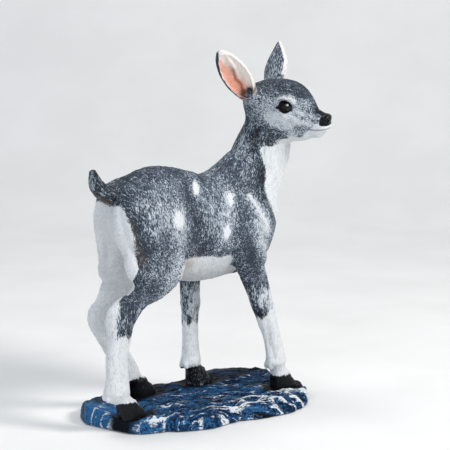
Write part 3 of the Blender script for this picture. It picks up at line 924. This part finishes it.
# ---- the way the hair lies: across, along and depth coordinates in millimetres --------------------------
def girth_hair(q):
    """Round the barrel: strokes run down the flank and follow the back over."""
    dy, dz = q[:, 1] - MID, q[:, 2] - 246.0
    r = np.hypot(dy, dz)
    sway = 3.0 * noise(q / 26.0, 71)
    return np.stack([q[:, 0] + 0.16 * (q[:, 2] - 250) + sway, np.arctan2(dy, dz) * 52.0, r + 0.3 * sway], 1)


def drop_hair(q):
    sway = 2.0 * noise(q / 20.0, 72)
    return np.stack([q[:, 0] + sway, q[:, 2], q[:, 1] + sway], 1)


def tube_hair(q, tube, first=0):
    best, out = np.full(len(q), 1e18), np.zeros((len(q), 3))
    for i in range(first, len(tube.C) - 1):
        a, d = tube.C[i], tube.C[i + 1] - tube.C[i]
        t = np.clip(((q - a) @ d) / (d @ d), 0, 1)
        w = q - a - t[:, None] * d
        dist = (w * w).sum(1)
        m = dist < best
        best[m] = dist[m]
        t = t[:, None]
        S, U = tube.S[i] * (1 - t) + tube.S[i + 1] * t, tube.U[i] * (1 - t) + tube.U[i + 1] * t
        out[m] = np.stack([(w * S).sum(1), tube.L[i] + t[:, 0] * (tube.L[i + 1] - tube.L[i]), (w * U).sum(1)], 1)[m]
    sway = 2.0 * noise(q / 18.0, 73)
    out[:, 0] += sway
    out[:, 2] += sway
    return out


def head_hair(q):
    p = head_local(q)
    sway = 2.0 * noise(q / 15.0, 74)
    return np.stack([p[:, 1] + sway, p[:, 0] - 0.25 * p[:, 2], p[:, 2] + 0.35 * p[:, 0] + sway], 1)


def ear_hair(q, name):
    t, u, v = ear_local(q, name)
    return np.stack([u, t, v], 1)


# ---- materials ----------------------------------------------------------------------------------------
class Nodes:
    def __init__(s, name):
        s.mat = bpy.data.materials.new(name)
        s.mat.use_nodes = True
        s.t = s.mat.node_tree
        s.bsdf = s.t.nodes["Principled BSDF"]

    def add(s, kind, **values):
        n = s.t.nodes.new(kind)
        for k, v in values.items():
            setattr(n, k, v)
        return n

    def put(s, value, socket):
        if isinstance(value, bpy.types.NodeSocket):
            s.t.links.new(value, socket)
        else:
            socket.default_value = value

    def math(s, op, a, b=0.0, c=0.0, clamp=False):
        n = s.add("ShaderNodeMath", operation=op, use_clamp=clamp)
        for i, v in enumerate((a, b, c)):
            s.put(v, n.inputs[i])
        return n.outputs[0]

    def ramp(s, value, a, b, lo=0.0, hi=1.0, smooth=True):
        n = s.add("ShaderNodeMapRange", interpolation_type="SMOOTHSTEP" if smooth else "LINEAR")
        for i, v in enumerate((value, a, b, lo, hi)):
            s.put(v, n.inputs[i])
        return n.outputs[0]

    def mix(s, t, a, b, blend="MIX"):
        n = s.add("ShaderNodeMix", data_type="RGBA", blend_type=blend)
        s.put(t, n.inputs[0])
        for i, v in ((6, a), (7, b)):
            s.put(tuple(v) + (1.0,) if isinstance(v, (tuple, list, np.ndarray)) and len(v) == 3 else v, n.inputs[i])
        return n.outputs[2]

    def attribute(s, name, output="Color"):
        return s.add("ShaderNodeAttribute", attribute_name=name).outputs[output]

    def scaled(s, vector, scale, shift=(0, 0, 0)):
        n = s.add("ShaderNodeMapping")
        s.put(vector, n.inputs["Vector"])
        n.inputs["Scale"].default_value = scale
        n.inputs["Location"].default_value = shift
        return n.outputs[0]

    def noise(s, vector, scale=1.0, detail=2.0, rough=0.5, distort=0.0):
        n = s.add("ShaderNodeTexNoise")
        s.put(vector, n.inputs["Vector"])
        n.inputs["Scale"].default_value = scale
        n.inputs["Detail"].default_value = detail
        n.inputs["Roughness"].default_value = rough
        n.inputs["Distortion"].default_value = distort
        return n.outputs["Fac"]

    def bump(s, height, strength, distance):
        n = s.add("ShaderNodeBump")
        n.inputs["Strength"].default_value = strength
        n.inputs["Distance"].default_value = distance
        s.put(height, n.inputs["Height"])
        s.put(n.outputs[0], s.bsdf.inputs["Normal"])


def object_mm(m):
    """Object coordinates turned into millimetres."""
    return m.scaled(m.add("ShaderNodeTexCoord").outputs["Object"], (1000, 1000, 1000))


def coat_material(name, across=1.22, along=5.0, rough=0.58, relief=0.6):
    """Hand-painted resin: dark undercoat, brushed strokes caught on the carved hair, solid light paint with ragged edges."""
    m = Nodes(name)
    hair, mask = m.attribute("hair", "Vector"), m.add("ShaderNodeSeparateColor")
    m.put(m.attribute("mask"), mask.inputs[0])
    brush, solid, gloss = mask.outputs
    fine = m.noise(m.scaled(hair, (1 / across, 1 / along, 1 / across)), 1.0, 3.0, 0.6, 0.3)
    thin = m.noise(m.scaled(hair, (2.1 / across, 2.4 / along, 2.1 / across), (31, 7, 13)), 1.0, 2.0, 0.6, 0.2)
    lock = m.noise(m.scaled(hair, (0.34 / across, 0.40 / along, 0.34 / across), (3, 17, 23)), 1.0, 2.0, 0.55, 0.4)
    tuft = m.noise(m.scaled(hair, (0.10, 0.05, 0.10), (5, 50, 9)), 1.0, 2.0, 0.5)
    share = m.math("ADD", brush, m.math("MULTIPLY", m.math("SUBTRACT", tuft, 0.5), 0.42))
    grain = m.math("ADD", m.math("ADD", m.math("MULTIPLY", fine, 0.55), m.math("MULTIPLY", thin, 0.27)), m.math("MULTIPLY", lock, 0.18))
    crisp = m.math("ADD", m.math("MULTIPLY", m.math("SUBTRACT", grain, 0.5), 1.7), 0.5)
    level = m.math("ADD", crisp, m.math("MULTIPLY", m.math("SUBTRACT", share, 0.5), 0.36))
    haze = m.ramp(level, 0.36, 0.60, 0.0, 0.36)
    strokes = m.ramp(level, 0.46, 0.62)
    bright = m.ramp(level, 0.52, 0.74)
    under = m.attribute("undercoat")
    dusty = m.mix(haze, under, (0.105, 0.140, 0.190))
    stroke_tone = m.mix(bright, (0.235, 0.290, 0.360), (0.66, 0.69, 0.715))
    painted = m.mix(m.math("MULTIPLY", strokes, 0.90), dusty, stroke_tone)
    bristle = m.math("ADD", m.math("MULTIPLY", fine, 0.5), m.math("MULTIPLY", thin, 0.5))
    edge = m.math("ADD", solid, m.math("MULTIPLY", m.math("SUBTRACT", bristle, 0.5), 2.0))
    cover = m.math("MULTIPLY", m.ramp(edge, 0.28, 0.74), m.ramp(solid, 0.04, 0.26))
    shadow = m.ramp(grain, 0.37, 0.53, 0.72, 1.0)
    top = m.mix(1.0, m.attribute("topcoat"), shadow, "MULTIPLY")
    colour = m.mix(cover, painted, top)
    m.put(colour, m.bsdf.inputs["Base Color"])
    m.put(m.math("SUBTRACT", rough, m.math("MULTIPLY", gloss, rough - 0.17)), m.bsdf.inputs["Roughness"])
    m.bsdf.inputs["Specular IOR Level"].default_value = 0.18
    m.bump(m.math("ADD", m.math("MULTIPLY", grain, 1.3), m.math("MULTIPLY", tuft, 0.3)), relief, 0.0011)
    return m.mat


def ear_material():
    """Smooth cup paint with faint veins inside, brushed hair on the back."""
    return coat_material("ear_paint", 1.1, 4.6, 0.50, 0.32)


def eye_material():
    m = Nodes("eye_glaze")
    p = object_mm(m)
    deep = m.noise(p, 0.35, 2.0)
    glaze, spot = m.mix(m.ramp(deep, 0.35, 0.7), (0.0016, 0.0014, 0.0014), (0.007, 0.004, 0.003)), 0.0
    for s, way in ((-1, (-0.551, -0.817, 0.170)), (1, (0.928, -0.041, 0.372))):              # a dot of white enamel on each eye
        at = HEAD_O + HEAD_R @ np.array([EYE_AHEAD, s * EYE_OUT, EYE_LEVEL]) + 8.6 * unit(way)
        far = m.add("ShaderNodeVectorMath", operation="DISTANCE")
        m.put(p, far.inputs[0])
        far.inputs[1].default_value = tuple(at)
        spot = m.math("MAXIMUM", spot, m.ramp(far.outputs["Value"], 0.9, 1.8, 1.0, 0.0))
    m.put(m.mix(spot, glaze, (0.66, 0.69, 0.72)), m.bsdf.inputs["Base Color"])
    m.put(m.ramp(m.noise(p, 0.9, 3.0), 0.2, 0.9, 0.03, 0.06), m.bsdf.inputs["Roughness"])
    m.bsdf.inputs["Specular IOR Level"].default_value = 0.28
    m.bump(m.noise(p, 0.5, 1.0), 0.04, 0.0004)
    return m.mat


def rock_material():
    """Cast stone: blue-black washes with ridges drybrushed white and glints of clearer blue."""
    m = Nodes("rock_paint")
    p = object_mm(m)
    mask = m.add("ShaderNodeSeparateColor")
    m.put(m.attribute("mask"), mask.inputs[0])
    ridge, worn, blue = mask.outputs
    swirl = m.attribute("hair", "Vector")
    strata = m.noise(m.scaled(swirl, (0.050, 0.26, 0.12)), 1.0, 3.0, 0.62, 0.9)
    strand = m.noise(m.scaled(swirl, (0.12, 0.62, 0.30), (9, 4, 2)), 1.0, 3.0, 0.62, 1.1)
    grit = m.noise(p, 0.42, 4.0, 0.62, 0.8)
    fine = m.noise(p, 1.3, 2.0, 0.6)
    wash = m.noise(m.scaled(swirl, (0.03, 0.07, 0.05), (1, 2, 3)), 1.0, 3.0, 0.6, 0.8)
    deep = m.mix(m.ramp(wash, 0.42, 0.58), (0.0020, 0.0034, 0.0080), (0.0060, 0.0200, 0.0560))
    tint = m.math("ADD", m.math("ADD", m.math("MULTIPLY", strata, 0.5), m.math("MULTIPLY", grit, 0.5)), m.math("MULTIPLY", m.math("SUBTRACT", blue, 0.5), 0.30))
    clear = m.mix(m.ramp(tint, 0.46, 0.60), deep, (0.028, 0.130, 0.300))
    level = m.math("ADD", m.math("ADD", m.math("MULTIPLY", strata, 0.30), m.math("MULTIPLY", strand, 0.34)), m.math("ADD", m.math("MULTIPLY", grit, 0.22), m.math("MULTIPLY", fine, 0.14)))
    level = m.math("ADD", level, m.math("MULTIPLY", m.math("SUBTRACT", ridge, 0.5), 0.30))
    chalk = m.ramp(level, 0.500, 0.580)
    haze = m.ramp(level, 0.46, 0.54, 0.0, 0.35)
    clear = m.mix(haze, clear, (0.10, 0.185, 0.315))
    painted = m.mix(m.math("MULTIPLY", chalk, 0.94), clear, (0.74, 0.77, 0.80))
    dark = m.mix(worn, painted, (0.0030, 0.0032, 0.0045))
    m.put(dark, m.bsdf.inputs["Base Color"])
    m.put(m.ramp(grit, 0.3, 0.7, 0.30, 0.60), m.bsdf.inputs["Roughness"])
    m.bsdf.inputs["Specular IOR Level"].default_value = 0.06
    m.bump(level, 0.9, 0.0026)
    return m.mat


def steel_material(name, colour, rough, stretch):
    m = Nodes(name)
    p = object_mm(m)
    drawn = m.noise(m.scaled(p, stretch), 1.0, 3.0, 0.6)
    m.put(m.mix(m.ramp(drawn, 0.3, 0.7), colour, tuple(0.72 * c for c in colour)), m.bsdf.inputs["Base Color"])
    m.bsdf.inputs["Metallic"].default_value = 1.0
    m.put(m.ramp(drawn, 0.25, 0.75, rough, rough + 0.18), m.bsdf.inputs["Roughness"])
    m.bump(drawn, 0.2, 0.0003)
    return m.mat


def felt_material():
    m = Nodes("felt_nap")
    p = object_mm(m)
    nap = m.noise(p, 1.6, 4.0, 0.7, 1.2)
    tone = m.noise(p, 0.05, 2.0)
    m.put(m.mix(m.ramp(nap, 0.35, 0.7), (0.012, 0.012, 0.014), m.mix(tone, (0.035, 0.035, 0.04), (0.05, 0.048, 0.05))), m.bsdf.inputs["Base Color"])
    m.bsdf.inputs["Roughness"].default_value = 0.95
    m.bsdf.inputs["Sheen Weight"].default_value = 0.4
    m.bump(nap, 0.8, 0.0012)
    return m.mat


COAT = coat_material("coat_paint")
FINE_COAT = coat_material("face_paint", 1.08, 3.3, 0.55, 0.55)
EAR_MAT, EYE_MAT, ROCK_MAT = ear_material(), eye_material(), rock_material()


# ---- the pieces -----------------------------------------------------------------------------------------
BODY = body_prims()
NECK_TUBE = BODY[1]
P1, N1 = NECK_CUT
P2, N2 = HEAD_CUT


def skin(name, box, h, cuts, carve, paint, hair, nodes, material, prims=None, blur=1):
    V, Q = grid_mesh(BODY if prims is None else prims, box[0], box[1], h, blur)
    V, Q = largest(V, Q)
    n = normals(V, Q)
    V = V + n * carve(V, n, hair(V))[:, None]
    piece = make_piece(name, V, Q, cuts)
    q, n = points_of(piece)
    store(piece, paint(q, n), hair(q))
    piece.data.materials.append(material)
    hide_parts(*nodes)
    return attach(piece, "root")


skin("torso_skin", ((-156, -52, 154), (124, 76, 330)), 1.12,
     [(P1, -N1, None), ((0, 0, HIND_Z), (0, 0, 1), (-400, -20)), ((0, 0, FORE_Z), (0, 0, 1), (-20, 400))],
     lambda q, n, g: carve_coat(q, n, g) + muscles(q, n), body_paint, girth_hair, ["torso_casting"], COAT, blur=2)
skin("neck_skin", ((6, -36, 230), (156, 60, 396)), 0.85, [(P1, N1, None), (P2, -N2, None)],
     lambda q, n, g: carve_coat(q, n, g) * (1 + 1.3 * step(95 - neck_turn(q), -10, 20)) + muscles(q, n), body_paint, lambda q: tube_hair(q, NECK_TUBE), ["neck_casting"], COAT, blur=2)
skin("head_skin", ((80, -84, 326), (176, 50, 428)), 0.62, [(P2, N2, None)],
     lambda q, n, g: carve_coat(q, n, g, 0.55) + head_carving(q, n), head_paint, head_hair, ["head_casting"], FINE_COAT, blur=2)
LEGS = {
    "rear_right": ((-178, -52, 12), (-56, 9, 168), HIND_Z),
    "rear_left": ((-160, 15, 12), (-24, 84, 168), HIND_Z),
    "front_right": ((34, -52, 12), (146, 8, 165), FORE_Z),
    "front_left": ((-12, 16, 12), (66, 84, 165), FORE_Z),
}
for leg, (lo, hi, top) in LEGS.items():
    skin("leg_skin_" + leg, (lo, hi), 0.8, [((0, 0, top), (0, 0, -1), None)],
         lambda q, n, g, leg=leg: carve_coat(q, n, g, 0.7) * step(q[:, 2], 36, 60) + leg_veins(q, n, g, leg), lambda q, n, leg=leg: leg_paint(q, n, leg), drop_hair,
         ["leg_" + leg], COAT, blur=2)
TAIL = tail_prims()
skin("tail_skin", ((-166, -8, 264), (-100, 32, 330)), 0.62, [],
     lambda q, n, g: carve_coat(q, n, g, 1.3), tail_paint, lambda q: tube_hair(q, TAIL[0]), ["tail"], COAT, prims=TAIL, blur=1)
for side, prims, lo, hi in (("right", ear_right_prims(), (26, -24, 376), (112, 30, 470)), ("left", ear_left_prims(), (108, -4, 388), (170, 56, 474))):
    skin("ear_skin_" + side, (lo, hi), 0.55, [],
         lambda q, n, g, side=side: ear_carving(q, n, side), lambda q, n, side=side: ear_paint(q, n, side), lambda q, side=side: ear_hair(q, side),
         ["ear_" + side], EAR_MAT, prims=prims, blur=1)


# ---- eyes: glazed balls set in the lids -------------------------------------------------------------------
def eye(name, s):
    c = HEAD_O + HEAD_R @ np.array([EYE_AHEAD, s * EYE_OUT, EYE_LEVEL])
    out = HEAD_R @ unit((0.30, s * 0.95, 0.06))
    bm = bmesh.new()
    bmesh.ops.create_uvsphere(bm, u_segments=64, v_segments=40, radius=1.0)
    z = Vector((0, 0, 1)).rotation_difference(Vector(out)).to_matrix().to_4x4()
    for v in bm.verts:
        a = max(v.co.z, 0.0)
        r = 8.6 * (1 + 0.035 * step(np.array([a]), 0.80, 0.93)[0])      # slight cornea swell
        v.co = (v.co * r * 0.001)
    bmesh.ops.transform(bm, matrix=Matrix.Translation(Vector(c) * 0.001) @ z, verts=bm.verts)
    me = bpy.data.meshes.new("eyeball_" + name)
    bm.to_mesh(me)
    bm.free()
    me.polygons.foreach_set("use_smooth", np.ones(len(me.polygons), bool))
    piece = bpy.data.objects.new("eyeball_" + name, me)
    bpy.context.scene.collection.objects.link(piece)
    me.materials.append(EYE_MAT)
    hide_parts("eye_" + name)
    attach(piece, "root")


eye("left", 1)
eye("right", -1)


# ---- rock slab ----------------------------------------------------------------------------------------------
ROCK = np.array([(-159.1, 26.6), (-153.1, 1.6), (-145.1, -28.4), (-137.1, -47.4), (-118.1, -56.4), (-99.1, -63.4), (-85.1, -72.4), (-68.1, -80.4), (-46.1, -86.4), (-19.1, -84.4), (5.9, -84.4), (23.9, -90.4), (43.9, -93.4), (70.9, -93.4), (96.9, -86.4), (125.9, -66.4), (141.9, -36.4), (143.9, -0.4), (141.9, 31.6), (135.9, 56.6), (117.9, 77.6), (95.9, 91.6), (75.9, 93.6), (47.9, 81.6), (15.9, 73.6), (-18.1, 77.6), (-50.1, 81.6), (-92.1, 81.6), (-122.1, 77.6), (-146.1, 57.6)])
FEET = [(-128.0, -26.0), (-57.5, 52.6), (109.5, -30.9), (31.5, 49.5)]


def inside_distance(x, y):
    """Distance inward from the slab outline, negative outside."""
    P = catmull(np.vstack([ROCK[-2:], ROCK, ROCK[:2]]), 6)
    P = P[12:12 + 6 * len(ROCK)]
    d, sign = np.full(len(x), 1e9), np.zeros(len(x), bool)
    for i in range(len(P)):
        ax, ay = P[i]
        bx, by = P[(i + 1) % len(P)]
        dx, dy = bx - ax, by - ay
        t = np.clip(((x - ax) * dx + (y - ay) * dy) / (dx * dx + dy * dy + 1e-9), 0, 1)
        d = np.minimum(d, (x - ax - t * dx) ** 2 + (y - ay - t * dy) ** 2)
        hit = ((ay > y) != (by > y)) & (x < (bx - ax) * (y - ay) / (by - ay + 1e-12) + ax)
        sign ^= hit
    d = np.sqrt(d)
    return np.where(sign, d, -d)


def swirl_of(x, y):
    """Strata lines bending round the slab: first value runs across the ridges."""
    wob = 16 * noise(np.stack([x / 60.0, y / 60.0, 0 * x], 1), 201) + 6 * noise(np.stack([x / 23.0, y / 23.0, 0 * x], 1), 202)
    return y * 0.92 + 0.16 * x + wob, x + 0.6 * wob


def rock_height(x, y, d):
    wide = 5.5 + 17.0 * step(-y, 34, 62) * step(x, -70, -20) * step(-x, -140, -95)
    t = np.clip((d + 1.5) / wide, 0, 1)
    body = 1.5 + 14.6 * (1 - (1 - t) ** 2.2)
    s, a = swirl_of(x, y)
    ridge = 1 - np.abs(noise(np.stack([s / 8.5, a / 40.0, 0 * x], 1), 210)) * 2
    ridge2 = 1 - np.abs(noise(np.stack([s / 3.4, a / 17.0, 0 * x + 5], 1), 211)) * 2
    ridge3 = 1 - np.abs(noise(np.stack([s / 1.8, a / 9.0, 0 * x + 9], 1), 212)) * 2
    lump = fbm(np.stack([x / 17.0, y / 13.0, 0 * x], 1), 3, 220)
    slope = step(-y, 36, 66) * step(x, -90, -30)
    keep = np.ones(len(x))
    for fx, fy in FEET:
        keep = np.minimum(keep, step(np.hypot((x - fx) / 1.25, y - fy), 14, 27))
    calm = step(-y, -62, -30)
    up = ((2.0 + 1.6 * slope) * ridge + (1.1 + 0.9 * slope) * ridge2 + (0.35 + 0.4 * slope) * ridge3) * (0.35 + 0.65 * calm) + 2.4 * lump
    mound = 6.0 * bump(x, y, 70, 62, 34, 16) + 3.5 * bump(x, y, -8, 58, 16, 10) + 5.0 * bump(x, y, -150, 22, 14, 24) + 4.5 * bump(x, y, 134, 20, 16, 26) + 3.5 * bump(x, y, -128, -56, 20, 12)
    up = up * (0.2 + 0.8 * keep) + mound * keep
    return body + up * step(d, -2, 5), ridge, ridge2, slope, keep, ridge3


def lump_of(q):
    return fbm(q / 7.0, 2, 244)


def rock():
    h = 0.86 * FINE
    lo, hi = np.array([-166.0, -100.0, -2.0]), np.array([152.0, 100.0, 32.0])
    shape = tuple(int(math.ceil((hi[i] - lo[i]) / h)) + 1 for i in range(3))
    X, Y = np.meshgrid(lo[0] + h * np.arange(shape[0]), lo[1] + h * np.arange(shape[1]), indexing="ij")
    x, y = X.ravel(), Y.ravel()
    d = inside_distance(x, y) + 1.6 * noise(np.stack([x / 9.0, y / 9.0, 0 * x], 1), 240) - 0.4
    H = rock_height(x, y, d)[0].reshape(X.shape)
    D = d.reshape(X.shape)
    Z = lo[2] + h * np.arange(shape[2])
    bulge = 2.6 * np.sqrt(np.clip(1 - ((Z - 8.5) / 10.5) ** 2, 0, 1)) - 2.2
    F = np.maximum((Z[None, None, :] - H[:, :, None]) * 0.75, -(D[:, :, None] + bulge[None, None, :]) * 0.9).astype(np.float32)
    V, Q = nets(soften(F, 1), lo, h)
    V, Q = largest(V, Q)
    n = normals(V, Q)
    side = 1 - np.abs(n[:, 2])
    V = V + n * (side * 1.5 * fbm(V * np.array([1 / 9.0, 1 / 9.0, 1 / 3.4]), 3, 260))[:, None]
    piece = make_piece("rock_slab", V, Q, [((0, 0, 1.5), (0, 0, 1), None)])
    q, n = points_of(piece)
    x, y, z = q.T
    d = inside_distance(x, y)
    H, ridge, ridge2, slope, keep, ridge3 = rock_height(x, y, d)
    s, a = swirl_of(x, y)
    c = Coat(len(q))
    high = 0.40 * (ridge - 0.45) + 0.32 * (ridge2 - 0.45) + 0.18 * (ridge3 - 0.45)
    front = step(-y, 22, 62)
    c.brush = 0.30 + 1.10 * high + 0.06 * front + 0.20 * slope * step(x, -70, 0) + 0.16 * (1 - np.abs(n[:, 2])) * front + 0.10 * step(x, 60, 130)
    c.brush += -0.24 * step(y, 10, 45) + 0.06 * step(-x, 100, 150) + 0.12 * bump(x, y, 70, 40, 50, 12)
    c.gloss = np.clip(0.50 + 0.35 * step(-x, 70, 150) - 0.35 * step(y, 20, 60) - 0.15 * step(x, 70, 130), 0, 1)
    shade = 0.0
    for fx, fy in FEET:
        shade = np.maximum(shade, step(-np.hypot((x - fx - 5) / 1.7, y - fy) + 2.5 * lump_of(q), -25, -16))
    c.solid = 0.80 * shade
    store(piece, c, np.stack([a, s, z], 1))
    piece.data.materials.append(ROCK_MAT)
    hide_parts("rock_base")
    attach(piece, "root")


rock()

# ---- hidden ironwork and the felt keep their CAD shapes ---------------------------------------------------------
ROD = steel_material("drawn_steel", (0.52, 0.52, 0.51), 0.32, (2.5, 2.5, 0.08))
ZINC = steel_material("zinc_plate", (0.66, 0.67, 0.66), 0.28, (1.4, 1.4, 1.4))
FELT = felt_material()
for name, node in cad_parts.items():
    kind = ROD if name.startswith(("armature", "neck_dowel", "tail_pin", "ear_pin")) else ZINC if name.startswith("base_") else FELT if name == "felt_sheet" else None
    if kind and not node.hide_render:
        node.data.materials.clear()
        node.data.materials.append(kind)

# ---- floor, light and camera ----------------------------------------------------------------------------------------
floor_mesh = bpy.data.meshes.new("floor")
N = 48
profile = [(-3.0, 0.0)] + [(1.2 + 0.9 * math.sin(a), 0.9 - 0.9 * math.cos(a)) for a in np.linspace(0, math.pi / 2, N)] + [(2.1, 3.2)]
ahead = Vector((math.sin(math.radians(38)), math.cos(math.radians(38)), 0))
across = Vector((ahead.y, -ahead.x, 0))
verts, faces = [], []
for u, w in profile:
    for side in (-4.0, 4.0):
        verts.append(ahead * u + across * side + Vector((0, 0, w)))
for i in range(len(profile) - 1):
    faces.append((2 * i, 2 * i + 1, 2 * i + 3, 2 * i + 2))
floor_mesh.from_pydata(verts, [], faces)
floor_mesh.polygons.foreach_set("use_smooth", np.ones(len(faces), bool))
floor = bpy.data.objects.new("floor", floor_mesh)
bpy.context.scene.collection.objects.link(floor)
pale = Nodes("pale_floor")
pale.put(pale.mix(pale.ramp(pale.noise(pale.add("ShaderNodeTexCoord").outputs["Object"], 6.0, 3.0), 0.3, 0.7), (0.80, 0.80, 0.79), (0.84, 0.84, 0.83)), pale.bsdf.inputs["Base Color"])
pale.bsdf.inputs["Roughness"].default_value = 0.9
floor_mesh.materials.append(pale.mat)

world = bpy.data.worlds.new("studio")
bpy.context.scene.world = world
world.use_nodes = True
world.node_tree.nodes["Background"].inputs[0].default_value = (0.86, 0.92, 1.0, 1)
world.node_tree.nodes["Background"].inputs[1].default_value = 0.38


def lamp(name, at, aim, size, power, colour):
    data = bpy.data.lights.new(name, "AREA")
    data.shape, data.size, data.energy, data.color = "DISK", size, power, colour
    o = bpy.data.objects.new(name, data)
    o.location = at
    o.rotation_euler = (Vector(aim) - Vector(at)).to_track_quat("-Z", "Y").to_euler()
    bpy.context.scene.collection.objects.link(o)


aim = (0.02, 0.0, 0.24)
lamp("key", (0.95, -1.70, 1.70), aim, 0.75, 44, (1.0, 0.985, 0.96))
lamp("fill", (-2.0, -1.1, 0.9), aim, 1.5, 17, (0.88, 0.94, 1.0))
lamp("top", (-0.2, 0.6, 2.2), aim, 1.0, 16, (1.0, 1.0, 1.0))

PHI, RISE = math.radians(38.0), math.radians(10.2)
back = Vector((-math.sin(PHI) * math.cos(RISE), -math.cos(PHI) * math.cos(RISE), math.sin(RISE)))
right = Vector((math.cos(PHI), -math.sin(PHI), 0.0))
up = back.cross(right)
camera_data = bpy.data.cameras.new("camera")
camera_data.lens, camera_data.sensor_width = 138.58, 36.0
camera_data.clip_end = 50
camera = bpy.data.objects.new("camera", camera_data)
spot = Vector((-1.303689, -1.720108, 0.627472))
camera.matrix_world = Matrix(((right.x, up.x, back.x, spot.x), (right.y, up.y, back.y, spot.y), (right.z, up.z, back.z, spot.z), (0, 0, 0, 1)))
bpy.context.scene.collection.objects.link(camera)
bpy.context.scene.camera = camera
bpy.context.scene.view_settings.view_transform = "Standard"
